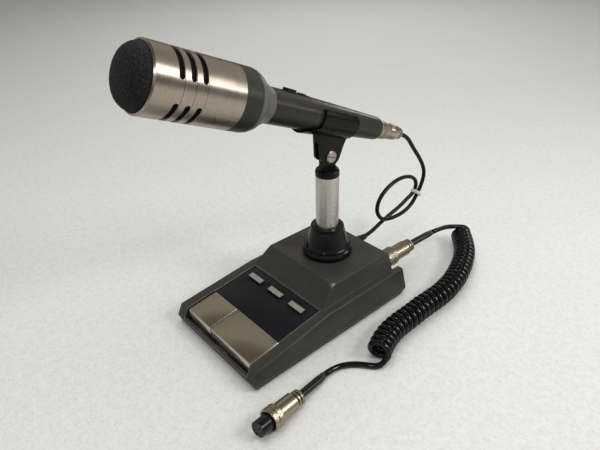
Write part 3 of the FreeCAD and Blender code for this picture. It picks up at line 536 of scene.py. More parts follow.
def knurled_ring(name, node, body, origin, axis, front, ring, rad, nose, shell_rad):
    """A plug's coupling ring: two knurled bands with a groove between them."""
    neck = shell_rad - 1.0
    back = front + ring
    seat = back - 3.6
    profile = [(nose + 0.1, front), (rad - 0.5, front), (rad - 0.06, front + 0.5),
               (rad, front + 0.9), (rad, front + ring * 0.40), (rad - 0.5, front + ring * 0.43),
               (rad - 0.5, front + ring * 0.49), (rad, front + ring * 0.52),
               (rad, back - 1.0), (rad - 0.06, back - 0.7), (rad - 0.5, back),
               (neck + 0.1, back), (neck + 0.1, seat + 1.8), (nose + 0.1, seat + 1.4)]

    def teeth(i, angle, radius):
        if i in (3, 4, 7, 8):
            return radius - 0.16 * (0.5 + 0.5 * math.cos(KNURLS * angle))
        return radius

    piece = sharpen(lathe(name, profile, origin, axis, 4 * KNURLS, teeth), 40)
    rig.replaces(piece, node)
    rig.ride(piece, body)
    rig.slot(piece, "nickel")
    return piece


def clamp(name, node, body, origin, axis, tail, rad, long, cord):
    """The cord grip behind a plug's shell: two rims with a waist between them."""
    end = tail + long
    waist = max(rad - 2.1, cord + 0.6)
    outline = [(waist - 0.4, 0.0), (waist - 0.4, 0.22), (rad - 0.6, 0.25), (rad, 0.29),
               (rad, 0.48), (rad - 0.5, 0.53), (waist + 0.3, 0.56), (waist, 0.60),
               (waist + 0.3, 0.64), (rad - 0.6, 0.66), (rad - 0.1, 0.70), (rad - 0.1, 0.88),
               (rad - 0.5, 0.95), (rad - 1.0, 1.0), (cord + 0.4, 1.0)]
    profile = [(cord + 0.05, tail)] + [(r, tail + long * part) for r, part in outline]
    profile.append((cord + 0.05, end - 0.4))
    piece = sharpen(lathe(name, profile, origin, axis, 96), 40)
    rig.replaces(piece, node)
    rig.ride(piece, body)
    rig.slot(piece, "nickel")
    return piece


def make_mic_plug_shell():
    """The full, rounded shell of the plug in the microphone's tail."""
    profile = [(6.7, 261.2), (7.3, 261.6), (7.8, 262.4), (8.0, 263.6), (8.0, 266.4), (7.6, 266.9),
               (7.6, 267.6), (7.9, 268.1), (7.8, 276.0), (7.6, 280.0), (7.1, 282.0), (6.2, 283.2),
               (5.0, 283.7), (2.3, 283.8), (2.3, 281.5), (5.2, 281.0), (6.7, 274.0)]
    piece = sharpen(lathe("mic_plug_cover", profile, MIC_FRONT, MIC_AXIS, 96), 40)
    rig.replaces(piece, "mic_plug_shell")
    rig.ride(piece, "microphone")
    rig.slot(piece, "nickel")
    return piece


rings = [
    knurled_ring("base_coupling_ring", "base_plug_ring", "base", SOCKET, BACK,
                 184.2, 11.3, 9.5, 8.0, 7.9),
    knurled_ring("mic_coupling_ring", "mic_plug_ring", "microphone", MIC_FRONT, MIC_AXIS,
                 250.3, 12.2, 9.0, 7.0, 7.6),
    knurled_ring("free_coupling_ring", "plug_ring", "plug_ring", PLUG_FRONT, PLUG_AXIS,
                 11.5, 9.6, 9.5, 8.0, 7.8)]
clamps = [
    clamp("base_cord_grip", "base_plug_clamp", "base", SOCKET, BACK, 214.5, 6.8, 9.0, 3.5),
    clamp("mic_cord_grip", "mic_plug_clamp", "microphone", MIC_FRONT, MIC_AXIS,
          283.4, 6.1, 5.3, 2.15),
    clamp("free_cord_grip", "plug_clamp", "base", PLUG_FRONT, PLUG_AXIS, 38.3, 6.6, 8.6, 3.5)]
mic_plug_cover = make_mic_plug_shell()

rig.cord(curly_cord, exit=row(*LEAD_BASE[0]), length=round(travelled(curly_points)[-1], 3),
        diameter=2 * CURLY_RADIUS, far_end="plug", stiffness="medium", lay="coiled",
        path=curly_points,
        with_pieces=[base_sleeve, plug_sleeve, rings[0], clamps[0], "base_plug_shell",
                     rings[2], clamps[2], "plug_shell", "plug_insert"])


# ---------------------------------------------------------------- windscreen and head mesh

def bundle(name, lines, radius, around=4):
    """One mesh of many thin wires."""
    verts, faces = [], []
    for points in lines:
        frames = frames_along(points, MIC_UP)
        base = len(verts)
        for point, (_, side, other) in zip(points, frames):
            for k in range(around):
                angle = 2 * math.pi * (k + 0.5) / around
                verts.append(point + (side * math.cos(angle) + other * math.sin(angle)) * radius)
        for i in range(len(points) - 1):
            for k in range(around):
                a, b = base + i * around + k, base + i * around + (k + 1) % around
                faces.append((a, b, b + around, a + around))
        faces.append(tuple(base + k for k in reversed(range(around))))
        faces.append(tuple(base + (len(points) - 1) * around + k for k in range(around)))
    return add_mesh(name, verts, faces)


def make_head_mesh():
    """Plain-weave wire cloth behind the slots of the head."""
    count, rows = 108, 30
    front, length = 9, 39.0
    middle, wave = 22.37, 0.1
    pitch = length / rows
    lines = []

    def at(angle, radius, along):
        return on_mic(radius * math.cos(angle), along, radius * math.sin(angle))

    for k in range(count):
        angle = 2 * math.pi * k / count
        lines.append([at(angle, middle + (wave if (k + i // 2) % 2 else -wave) * (1 - i % 2),
                         front + i * pitch / 2) for i in range(2 * rows + 1)])
    for j in range(1, rows):
        lines.append([at(math.pi * i / count,
                         middle + (-wave if (i // 2 + j) % 2 else wave) * (1 - i % 2),
                         front + j * pitch) for i in range(2 * count + 1)])
    piece = bundle("head_wire_cloth", lines, 0.12 * MM)
    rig.replaces(piece, "head_mesh")
    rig.ride(piece, "microphone")
    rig.slot(piece, "mesh")
    return piece


def make_windscreen():
    """Open-cell foam: a dome in front of the rim and a thin lining behind it."""
    curve = [(0, -11.6), (4, -11.5), (8, -11.1), (11, -10.6), (13.5, -10.0), (15.8, -9.1),
             (17.7, -8.0), (19.3, -6.6), (20.5, -5.1), (21.4, -3.4), (22.0, -1.7), (22.35, 0.1),
             (22.45, 2.2), (22.45, 8.6), (21.9, 8.9),
             (21.9, 47), (20.4, 47), (20.4, 13), (0, 13)]
    profile = []
    for (r0, a0), (r1, a1) in zip(curve, curve[1:]):
        gap = math.hypot(r1 - r0, a1 - a0)
        pieces = max(1, round(gap / (0.55 if a1 < 9 else 4)))
        for k in range(pieces):
            profile.append((r0 + (r1 - r0) * k / pieces, a0 + (a1 - a0) * k / pieces))
    profile.append(curve[-1])
    around = 240
    verts, faces = [], []
    for k in range(around):
        angle = 2 * math.pi * k / around
        for radius, along in profile:
            spot = Vector((radius * math.cos(angle), along, radius * math.sin(angle)))
            push = 0.0
            if along < 8.5:
                push = 0.30 * noise.noise(spot * 0.9) + 0.16 * noise.noise(spot * 2.3)
            scale = 1 + push / 30 if radius > 0.01 else 1
            verts.append(on_mic(spot.x * scale, spot.y - push * 0.6 * (1 if along < 1 else 0),
                                spot.z * scale))
    rows = len(profile)
    for k in range(around):
        n = (k + 1) % around
        for i in range(rows - 1):
            faces.append((k * rows + i, k * rows + i + 1, n * rows + i + 1, n * rows + i))
    piece = add_mesh("foam_dome", verts, faces)
    weld(piece, 1e-5)
    piece.data.shade_smooth()
    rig.replaces(piece, "foam_windscreen")
    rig.ride(piece, "microphone")
    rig.slot(piece, "foam")
    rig.padded(piece, 1.0)
    return piece


head_cloth = make_head_mesh()
foam_dome = make_windscreen()


# ---------------------------------------------------------------- small pieces

def box_mesh(name, low, high, place, bevel, segments=3):
    """A rounded block between two corners, each corner given in millimetres to place()."""
    verts = [place(x, y, z) for x in (low[0], high[0]) for y in (low[1], high[1])
             for z in (low[2], high[2])]
    shape = bmesh.new()
    made = [shape.verts.new(v) for v in verts]
    for face in ((0, 1, 3, 2), (4, 6, 7, 5), (0, 4, 5, 1), (2, 3, 7, 6), (0, 2, 6, 4),
                 (1, 5, 7, 3)):
        shape.faces.new([made[i] for i in face])
    bmesh.ops.recalc_face_normals(shape, faces=shape.faces)
    bmesh.ops.bevel(shape, geom=shape.edges[:], offset=bevel * MM, segments=segments,
                    profile=0.5, affect="EDGES")
    data = bpy.data.meshes.new(name)
    shape.to_mesh(data)
    shape.free()
    thing = bpy.data.objects.new(name, data)
    scene.collection.objects.link(thing)
    return sharpen(thing, 50)


def make_tie():
    """Nylon cable tie: a toothed band, the head that locks it, and the cut tail."""
    centre = row(0, 280.6, 62.4)
    axis = Vector((0, 0.65, 0.76)).normalized()
    out = axis.cross(RIGHT)

    def place(x, y, z):
        return centre + (RIGHT * x + out * y + axis * z) * MM

    strands = 2.35
    section = ((0, -1.8), (0.85, -1.8), (1.05, -1.3), (1.05, 1.3), (0.85, 1.8), (0, 1.8))
    sides = len(section)
    line = []
    steps = 64
    for k in range(steps + 1):
        angle = 2 * math.pi * k / steps
        x = strands * math.copysign(min(1, abs(math.cos(angle)) * 1.6), math.cos(angle))
        line.append((x + 2.75 * math.cos(angle), 2.85 * math.sin(angle)))
    verts, faces = [], []
    for x, y in line[:-1]:
        away = Vector((x, y)).normalized()
        for grow, height in section:
            verts.append(place(x + away.x * grow, y + away.y * grow, height))
    for k in range(steps):
        n = (k + 1) % steps
        for i in range(sides):
            j = (i + 1) % sides
            faces.append((k * sides + i, n * sides + i, n * sides + j, k * sides + j))
    band = add_mesh("tie_band", verts, faces)
    weld(band)
    sharpen(band, 35)
    lock = box_mesh("tie_lock", (-2.4, 3.4, -2.6), (2.4, 7.6, 2.6), place, 0.6)
    mouth = box_mesh("tie_pawl", (-1.4, 7.2, -1.9), (1.4, 8.0, 1.9), place, 0.25)
    tail = box_mesh("tie_tail", (-0.6, 7.4, -1.6), (0.6, 12.4, 1.6), place, 0.2)
    parts = [band, lock, mouth, tail]
    for part in parts:
        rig.ride(part, "base")
        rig.slot(part, "tie")
    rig.replaces(band, "cable_tie")
    return parts


def make_springs():
    """The two lever springs as coils of wire with closed ends, inside their CAD boxes."""
    coil, wire = 3.05 * MM, 0.42 * MM
    seat, turns, steps = 0.45 * MM, 7, 112
    made = []
    for node, joint in (("ptt_spring", "ptt_press"), ("lock_spring", "lock_press")):
        low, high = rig.box(node)
        centre = (low + high) / 2
        rise = high.z - low.z - 2 * seat
        points = []
        for k in range(steps + 1):
            share = k / steps
            lift = min(max((share * turns - 1) / (turns - 2), 0), 1)
            angle = 2 * math.pi * turns * share
            points.append(Vector((centre.x + coil * math.cos(angle),
                                  centre.y + coil * math.sin(angle),
                                  low.z + seat + rise * (0.06 + 0.88 * lift))))
        piece = tube(node + "_coil", points, wire, 8)
        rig.replaces(piece, node)
        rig.ride(piece, "base")
        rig.slot(piece, "spring")
        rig.squash(piece, joint, axis=(0, 0, 1), anchor=(centre.x, centre.y, low.z), keep=0.86)
        made.append(piece)
    return made


tie_parts = make_tie()
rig.cord(mic_cord, exit=mic_points[0], length=0.388, diameter=2 * CORD_RADIUS, far_end="object",
        stiffness="medium", lay="hanging", path=mic_points,
        with_pieces=[*tie_parts, rings[1], clamps[1], mic_plug_cover, "cord_gland"])
springs = make_springs()
switch_stop = box_mesh("switch_stop", (-2.6, 140.5, 14.1), (2.6, 146.0, 15.0), on_mic, 0.4)
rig.ride(switch_stop, "microphone")
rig.slot(switch_stop, "black_plastic")


# ---------------------------------------------------------------- finishes

class Finish:
    """A procedural finish built node by node onto a Principled shader."""

    def __init__(self, name, colour, **sockets):
        self.material = bpy.data.materials.new(name)
        self.material.use_nodes = True
        self.tree = self.material.node_tree
        self.shader = self.tree.nodes["Principled BSDF"]
        self.shader.inputs["Base Color"].default_value = (*colour, 1)
        for label, value in sockets.items():
            self.shader.inputs[label.replace("_", " ")].default_value = value
        self.place = self.node("ShaderNodeTexCoord").outputs["Object"]
        self.bumped = None

    def node(self, kind, inputs=None, **settings):
        made = self.tree.nodes.new(kind)
        for label, value in settings.items():
            setattr(made, label, value)
        for label, value in (inputs or {}).items():
            if hasattr(value, "is_output"):
                self.tree.links.new(value, made.inputs[label])
            else:
                made.inputs[label].default_value = value
        return made

    def grid(self, stretch=(1, 1, 1), tilt=0.0):
        """Object coordinates turned about X and stretched, for grain that has a direction."""
        turned = self.place
        if tilt:
            turned = self.node("ShaderNodeVectorRotate", {"Vector": self.place, "Angle": tilt,
                                                          "Center": tuple(MIC_FRONT)},
                               rotation_type="X_AXIS").outputs[0]
        return self.node("ShaderNodeVectorMath", {0: turned, 1: stretch},
                         operation="MULTIPLY").outputs[0]

    def noise(self, scale, detail=4.0, vector=None, roughness=0.55):
        made = self.node("ShaderNodeTexNoise", {
            "Vector": vector or self.place, "Scale": scale, "Detail": detail,
            "Roughness": roughness})
        return made.outputs["Fac"]

    def cells(self, scale):
        made = self.node("ShaderNodeTexVoronoi", {"Vector": self.place, "Scale": scale})
        return made.outputs["Distance"]

    def span(self, value, low, high, start=0.0, end=1.0):
        """A value between low and high, carried over to between start and end."""
        return self.node("ShaderNodeMapRange", {
            "Value": value, "From Min": low, "From Max": high, "To Min": start,
            "To Max": end}).outputs[0]

    def maths(self, how, a, b):
        return self.node("ShaderNodeMath", {0: a, 1: b}, operation=how).outputs[0]

    def mixed(self, share, a, b):
        """Colour a where share is zero and colour b where it is one."""
        made = self.node("ShaderNodeMix", data_type="RGBA")
        for index, value in ((0, share), (6, a), (7, b)):
            if hasattr(value, "is_output"):
                self.tree.links.new(value, made.inputs[index])
            elif index == 0:
                made.inputs[index].default_value = value
            else:
                made.inputs[index].default_value = (*value, 1)
        return made.outputs[2]

    def edges(self, radius, low=0.02, high=0.20):
        """One along creases and zero on flats."""
        soft = self.node("ShaderNodeBevel", {"Radius": radius}, samples=6).outputs[0]
        hard = self.node("ShaderNodeNewGeometry").outputs["Normal"]
        same = self.node("ShaderNodeVectorMath", {0: soft, 1: hard},
                         operation="DOT_PRODUCT").outputs["Value"]
        return self.span(self.maths("SUBTRACT", 1.0, same), low, high)

    def hollows(self, reach=0.0012, low=0.45, high=0.95):
        """Zero deep in grooves and corners, one in the open."""
        open_air = self.node("ShaderNodeAmbientOcclusion", {"Distance": reach}, samples=5)
        return self.span(open_air.outputs["AO"], low, high)

    def facing(self, direction, low, high):
        """One where the surface faces a direction of the object, zero elsewhere."""
        normal = self.node("ShaderNodeTexCoord").outputs["Normal"]
        same = self.node("ShaderNodeVectorMath", {0: normal, 1: tuple(direction)},
                         operation="DOT_PRODUCT").outputs["Value"]
        return self.span(same, low, high)

    def along(self, origin, axis):
        """The offset from an origin, and how far it goes along an axis."""
        away = self.node("ShaderNodeVectorMath", {0: self.place, 1: tuple(origin)},
                         operation="SUBTRACT").outputs[0]
        far = self.node("ShaderNodeVectorMath", {0: away, 1: tuple(axis)},
                        operation="DOT_PRODUCT").outputs["Value"]
        return away, far

    def turned_about(self, origin, axis, radius):
        """A lathe-turned outside: its exact normal, and highlights stretched along the axis."""
        away, along = self.along(origin, axis)
        foot = self.node("ShaderNodeVectorMath", {0: tuple(axis), "Scale": along},
                         operation="SCALE").outputs[0]
        out = self.node("ShaderNodeVectorMath", {0: away, 1: foot},
                        operation="SUBTRACT").outputs[0]
        far = self.node("ShaderNodeVectorMath", {0: out}, operation="LENGTH").outputs["Value"]
        turns = [self.node("ShaderNodeVectorTransform", {0: way}, vector_type="NORMAL",
                           convert_from="OBJECT", convert_to="WORLD").outputs[0]
                 for way in (out, tuple(axis))]
        normal = self.node("ShaderNodeMix", {
            0: self.span(far, radius - 0.0003, radius - 0.0001),
            4: self.node("ShaderNodeNewGeometry").outputs["Normal"], 5: turns[0]},
            data_type="VECTOR").outputs[1]
        self.bumped = self.node("ShaderNodeVectorMath", {0: normal},
                                operation="NORMALIZE").outputs[0]
        self.tree.links.new(self.bumped, self.shader.inputs["Normal"])
        self.tree.links.new(turns[1], self.shader.inputs["Tangent"])

    def colour(self, value):
        self.tree.links.new(value, self.shader.inputs["Base Color"])

    def cover(self, share, value):
        """Lays another colour over the present one where share is one."""
        present = self.shader.inputs["Base Color"].links[0].from_socket
        self.colour(self.mixed(share, present, value))

    def rough(self, value):
        self.tree.links.new(value, self.shader.inputs["Roughness"])

    def bump(self, height, distance, strength):
        links = {"Height": height, "Distance": distance, "Strength": strength}
        if self.bumped:
            links["Normal"] = self.bumped
        self.bumped = self.node("ShaderNodeBump", links).outputs[0]
        self.tree.links.new(self.bumped, self.shader.inputs["Normal"])

    def onto(self, *things):
        """Puts the finish on pieces, and on CAD nodes given by name."""
        for thing in things:
            thing = nodes[thing] if isinstance(thing, str) else thing
            thing.data.materials.clear()
            thing.data.materials.append(self.material)


def painted(name, colour, rough, rub_and_highlight_colour, rub_and_highlight_share, grain=1500, depth=0.00003, rub_and_highlight_front=None):
    """Satin paint on metal: fine texture, cloudy sheen, handling marks and bright edges.

    Edges in front of rub_and_highlight_front, a Y in metres, are bright all the way along.
    The bright edges stand partly for paint rubbing through and partly for a painted highlight.
    """
    look = Finish(name, colour, Specular_IOR_Level=0.38)
    cloud = look.noise(38, 5)
    fine = look.noise(grain, 3)
    patches = look.span(look.noise(34, 6), 0.44, 0.60, 0.12, 1.0)
    if rub_and_highlight_front:
        split = look.node("ShaderNodeSeparateXYZ", {0: look.place}).outputs
        patches = look.maths("MAXIMUM", patches, look.span(split["Y"], rub_and_highlight_front, rub_and_highlight_front - 0.004,
                                                           0, 0.9))
    # Bright edges: partly paint rubbing through, partly a painted highlight along the creases.
    rub_and_highlight = look.maths("MULTIPLY", look.edges(0.0010, 0.02, 0.16), patches)
    rub_and_highlight = look.maths("MULTIPLY", rub_and_highlight, rub_and_highlight_share)
    tone = look.mixed(look.span(cloud, 0.3, 0.7), colour, [c * 1.28 + 0.002 for c in colour])
    speck = look.span(look.noise(620, 2), 0.66, 0.74)
    tone = look.mixed(look.maths("MULTIPLY", speck, 0.35), tone, [c * 2.4 + 0.01 for c in colour])
    look.colour(look.mixed(rub_and_highlight, tone, rub_and_highlight_colour))
    smear = look.noise(9, 6, look.grid((1, 2.2, 1)))
    value = look.span(smear, 0.3, 0.7, rough - 0.06, rough + 0.09)
    look.rough(look.maths("ADD", value, look.span(fine, 0.3, 0.7, -0.03, 0.03)))
    look.bump(fine, depth, 0.55)
    look.bump(look.noise(420, 2), depth * 1.5, 0.35)
    return look


def metal(name, colour, rough, lines=(1, 1, 1), tilt=0.0, depth=0.00001, stain=None, rub_and_highlight_colour=None,
          aniso=0.0, shade_and_dirt=None, turned=None):
    """Bare or plated metal with machining lines, stains, brighter edges that are partly wearing and partly a painted
    highlight, and grooves darkened as painted shade with some dirt.

    turned holds the origin, axis and radius of a lathe-turned outside.
    """
    look = Finish(name, colour, Metallic=1.0, Anisotropic=aniso)
    if turned:
        look.turned_about(*turned)
    ways = look.grid(lines, tilt)
    scratch = look.noise(1.0, 4, ways, 0.7)
    broad = look.noise(55, 5)
    tone = look.mixed(look.span(scratch, 0.25, 0.75), [c * 0.92 for c in colour],
                      [min(1, c * 1.06) for c in colour])
    if stain:
        tone = look.mixed(look.span(broad, 0.46, 0.80, 0, 0.7), tone, stain)
    # Lighter edges: partly wearing, partly a painted highlight on rims and slot edges.
    if rub_and_highlight_colour:
        tone = look.mixed(look.edges(0.0005, 0.04, 0.25), tone, rub_and_highlight_colour)
    # Darker grooves and corners: painted shade, with some dirt.
    if shade_and_dirt:
        tone = look.mixed(look.hollows(), shade_and_dirt, tone)
    look.colour(tone)
    value = look.span(scratch, 0.2, 0.8, rough - 0.04, rough + 0.05)
    look.rough(look.maths("ADD", value, look.span(broad, 0.3, 0.7, -0.03, 0.05)))
    if depth:
        look.bump(scratch, depth, 0.5)
    return look


def plastic(name, colour, rough, grain=900, depth=0.00001, gloss=0.0, scuff=0.5, rub=1.0):
    """Moulded plastic: even colour, faint moulding texture, scuffs and dust.

    scuff sets how used it looks, and rub how much of that shows on its edges.
    """
    look = Finish(name, colour, Coat_Weight=gloss, Coat_Roughness=0.05, Specular_IOR_Level=0.24)
    fine = look.noise(grain, 3)
    cloud = look.noise(45, 4)
    dust = look.maths("MULTIPLY", look.span(look.noise(260, 5), 0.58, 0.74), scuff * 0.22)
    tone = look.mixed(look.span(cloud, 0.3, 0.7), colour, [c * 1.3 + 0.001 for c in colour])
    tone = look.mixed(dust, tone, (0.20, 0.19, 0.18))
    scuffed = look.maths("MULTIPLY", look.edges(0.0005, 0.12, 0.4), 0.30 * scuff * rub)
    look.colour(look.mixed(scuffed, tone, (0.10, 0.10, 0.105)))
    value = look.span(cloud, 0.3, 0.7, rough - 0.04, rough + 0.05)
    scratches = look.noise(1.0, 3, look.grid((90, 1400, 300)))
    look.rough(look.maths("ADD", value, look.span(scratches, 0.60, 0.75, 0, 0.10 * scuff)))
    look.bump(fine, depth, 0.5)
    return look


CHIP = (0.0457, 0.008, 0.0485)
# In front of this Y the case's edges are bright all along: partly rubbing, partly painted highlight.
RUB_AND_HIGHLIGHT_FRONT = -0.0085
# The cone's lighter colour is a painted highlight for the light it catches.
CONE_LIT_TONE = (0.140, 0.136, 0.122)


def make_case_look():
    """Dark paint with a chip on the shoulder of the case."""
    # The case's bright edges are partly rubbing and partly a painted highlight.
    look = painted("case_paint", (0.037, 0.0365, 0.0315), 0.34, (0.52, 0.51, 0.47), 0.85,
                   rub_and_highlight_front=RUB_AND_HIGHLIGHT_FRONT)
    spot = look.node("ShaderNodeVectorMath", {0: look.place, 1: CHIP},
                     operation="DISTANCE").outputs["Value"]
    ragged = look.span(look.noise(700, 4), 0.3, 0.7, -0.0016, 0.0016)
    spot = look.maths("ADD", spot, ragged)
    look.cover(look.span(spot, 0.0034, 0.0008, 0, 0.8), (0.36, 0.34, 0.28))
    look.onto("base_case")


def make_handle_looks():
    """Dark paint on the handle and the head's ring, with the cone between them coloured lighter: a painted highlight
    for the light the cone catches.
    """
    handle = painted("handle_paint", (0.025, 0.0245, 0.0205), 0.30, (0.15, 0.145, 0.13), 0.0)
    ring = painted("ring_paint", (0.027, 0.027, 0.0235), 0.36, (0.12, 0.12, 0.11), 0.0, 2200)
    for look, low, high, end in ((handle, 0.1074, 0.1080, 0.0), (ring, 0.0868, 0.0878, 1.0)):
        _, back = look.along(MIC_FRONT, MIC_AXIS)
        # Lighter cone colour: painted highlight.
        look.cover(look.span(back, low, high, 1 - end, end), CONE_LIT_TONE)
    handle.onto("mic_handle")
    ring.onto("head_ring")


def make_bar_look():
    """Brushed sheet, brighter on its front lips (a painted reflection of the lit floor ahead), along its edges (partly
    rubbing, partly painted highlight) and in thin lines at the bars' right ends (painted highlights).
    """
    look = metal("bar_sheet", (0.56, 0.50, 0.38), 0.32, (60, 5200, 5200), depth=0.000006)
    # Front lips lighter: a painted reflection of the lit floor in front of them.
    lip = look.facing((0, -1, 0), 0.55, 0.9)
    # Edges lighter: partly rubbing, partly painted highlight.
    rub_and_highlight = look.maths("MAXIMUM", lip, look.edges(0.0013, 0.01, 0.08))
    across = look.node("ShaderNodeSeparateXYZ", {0: look.place}).outputs["X"]
    # A bright line at each bar's right end: a painted highlight.
    for end in (-0.0114, 0.0490):
        highlight_line_gap = look.maths("ABSOLUTE", look.maths("SUBTRACT", across, end), 0.0)
        rub_and_highlight = look.maths("MAXIMUM", rub_and_highlight, look.span(highlight_line_gap, 0.0010, 0.0006))
    look.cover(rub_and_highlight, (0.90, 0.83, 0.76))
    look.onto("ptt_bar", "lock_bar")


make_case_look()
make_handle_looks()
make_bar_look()
painted("panel_anodised", (0.0060, 0.0063, 0.0085), 0.36, (0.10, 0.10, 0.10), 0.3, 2600,
        0.00001).onto("control_panel")

stem_metal = metal("stem_metal", (0.80, 0.765, 0.71), 0.28, (900, 900, 40), depth=0,
                   aniso=0.75, turned=(row(0, 141.1, 0), (0, 0, 1), 0.011))
stem_metal.onto("stem_tube")

# On the head the bright slot edges and rim are partly painted highlight, the darkened slots partly painted shade.
head_metal = metal("head_metal", (0.58, 0.51, 0.43), 0.27, (14, 4200, 14), TILT, 0.0000016,
                   rub_and_highlight_colour=(0.90, 0.87, 0.82), aniso=0.6, shade_and_dirt=(0.10, 0.065, 0.05),
                   turned=(MIC_FRONT, MIC_AXIS, 0.0243))
head_metal.onto("head_shell")

nickel = metal("plug_nickel", (0.58, 0.53, 0.41), 0.27, (900, 900, 900), 0.0, 0.0000008,
               stain=(0.42, 0.36, 0.24), rub_and_highlight_colour=(0.82, 0.78, 0.66), shade_and_dirt=(0.10, 0.075, 0.04))
nickel.onto("base_socket", "socket_nut", "base_plug_shell", "mic_socket", mic_plug_cover,
            "plug_shell", *rings, *clamps)
# The darkened screw slot is partly painted shade.
metal("screw_nickel", (0.56, 0.52, 0.45), 0.32, (300, 2600, 2600), 0.0, 0.000005,
      stain=(0.40, 0.35, 0.28), rub_and_highlight_colour=(0.85, 0.82, 0.76), shade_and_dirt=(0.09, 0.06, 0.04)).onto(
    "pivot_screw", "pivot_nut")
metal("zinc_plate", (0.52, 0.53, 0.52), 0.40, (700, 1500, 700), 0.0, 0.00002,
      stain=(0.40, 0.40, 0.36), rub_and_highlight_colour=(0.74, 0.74, 0.72)).onto(
    "bottom_plate", "bottom_screws", "lever_bracket", "bar_pivot_rod", "stem_nut",
    "board_screws")
metal("spring_wire", (0.50, 0.49, 0.47), 0.30, (2500, 2500, 300), 0.0, 0.00001).onto(*springs)
metal("iron", (0.16, 0.155, 0.15), 0.62, (600, 600, 600), 0.0, 0.0002,
      stain=(0.20, 0.12, 0.07)).onto("ballast_weight")
metal("wire_cloth", (0.045, 0.034, 0.024), 0.50, (2000, 2000, 2000)).onto(head_cloth)
metal("capsule_can", (0.45, 0.44, 0.42), 0.35, (60, 3000, 60), TILT).onto("mic_capsule")

plastic("gloss_black", (0.0030, 0.0030, 0.0036), 0.12, 500, 0.000005, 0.12, 0.3).onto(
    "stem_collar")
plastic("clip_black", (0.0030, 0.0030, 0.0034), 0.25, 1100, 0.000004, 0.0, 0.2, 0.0).onto(
    "mic_clip", "swivel_base")
plastic("insert_black", (0.007, 0.007, 0.008), 0.20, 900, 0.000008, 0.4).onto("plug_insert")
plastic("switch_black", (0.009, 0.009, 0.009), 0.36, 1500, 0.00001, 0.0, 0.9).onto(
    "switch_knob", "switch_body", "button_switches", "lever_switches", "ptt_plunger",
    "lock_plunger", "switch_plate", switch_stop)
plastic("gland_rubber", (0.010, 0.010, 0.010), 0.45, 1200, 0.00002).onto(
    "cord_gland", "rubber_feet", "capsule_mount")


def make_cord_looks():
    """Black sheaths, and sleeves with a smear of brown glue behind a dark lip."""
    sheath = plastic("cord_sheath", (0.0055, 0.0053, 0.0050), 0.28, 1300, 0.00002, 0.0, 0.3)
    sheath.onto(mic_cord)
    coil = plastic("curly_sheath", (0.0028, 0.0028, 0.0034), 0.10, 800, 0.00001, 0.45, 0.15)
    coil.onto(curly_cord)
    for name, piece, route in (("base_sleeve_skin", base_sleeve, BASE_SLEEVE),
                               ("plug_sleeve_skin", plug_sleeve, PLUG_SLEEVE)):
        look = Finish(name, (0.006, 0.006, 0.007), Coat_Weight=0.3, Coat_Roughness=0.05)
        end = row(*route[-1])
        _, far = look.along(end, (end - row(*route[-2])).normalized())
        ragged = look.maths("ADD", far, look.span(look.noise(300, 3), 0.3, 0.7, -0.0006, 0.0006))
        glue = look.span(ragged, -0.0068, -0.0040)
        lip = look.span(ragged, -0.0016, -0.0008)
        cloud = look.noise(160, 4)
        brown = look.mixed(look.span(cloud, 0.35, 0.65), (0.035, 0.021, 0.009),
                           (0.090, 0.060, 0.028))
        tone = look.mixed(look.maths("MULTIPLY", glue, 0.75), (0.006, 0.006, 0.007), brown)
        look.colour(look.mixed(lip, tone, (0.012, 0.011, 0.010)))
        look.rough(look.span(cloud, 0.3, 0.7, 0.10, 0.22))
        look.bump(look.noise(420, 3), 0.00004, 0.5)
        look.onto(piece)


def make_foam_look():
    """Open cells: small pits, with larger tufts over them."""
    look = Finish("foam_cells", (0.010, 0.0105, 0.013), Roughness=0.95, Sheen_Weight=0.04,
                  Sheen_Roughness=0.6)
    cells = look.cells(1000)
    loose_cells = look.noise(620, 4, None, 0.7)
    pore = look.span(cells, 0.25, 0.75)
    tone = look.mixed(pore, (0.025, 0.027, 0.034), (0.001, 0.001, 0.0015))
    look.colour(look.mixed(look.span(loose_cells, 0.45, 0.60), tone, (0.003, 0.003, 0.004)))
    look.bump(cells, -0.00035, 0.9)
    look.bump(loose_cells, 0.0005, 0.7)
    look.onto(foam_dome)


def make_button_look():
    """Pale keytops moulded over black skirts."""
    lean = math.atan2(11.1, 83.0)
    slope = Vector((0, -math.sin(lean), math.cos(lean)))
    look = Finish("key_tops", (0.42, 0.40, 0.33), Metallic=0.0)
    top = look.facing(slope, 0.86, 0.97)
    cloud = look.noise(240, 5)
    pale = look.mixed(look.span(cloud, 0.35, 0.65), (0.24, 0.23, 0.19), (0.31, 0.295, 0.245))
    pale = look.mixed(look.maths("MULTIPLY", look.edges(0.0006, 0.03, 0.25), 0.5), pale,
                      (0.45, 0.43, 0.37))
    look.colour(look.mixed(top, (0.010, 0.010, 0.010), pale))
    look.rough(look.span(cloud, 0.3, 0.7, 0.36, 0.5))
    look.bump(look.noise(1900, 2), 0.00002, 0.4)
    look.onto("button_left", "button_middle", "button_right")


def make_board_look():
    """Green lacquer over the copper of a circuit board."""
    look = Finish("circuit_board_skin", (0.02, 0.07, 0.03), Roughness=0.35)
    tracks = look.node("ShaderNodeTexBrick", {
        "Vector": look.place, "Scale": 90.0, "Mortar Size": 0.03, "Color1": (0.02, 0.075, 0.03, 1),
        "Color2": (0.018, 0.062, 0.028, 1), "Mortar": (0.05, 0.12, 0.05, 1)}).outputs[0]
    look.colour(tracks)
    look.bump(look.noise(700, 3), 0.00002, 0.5)
    look.onto("circuit_board")


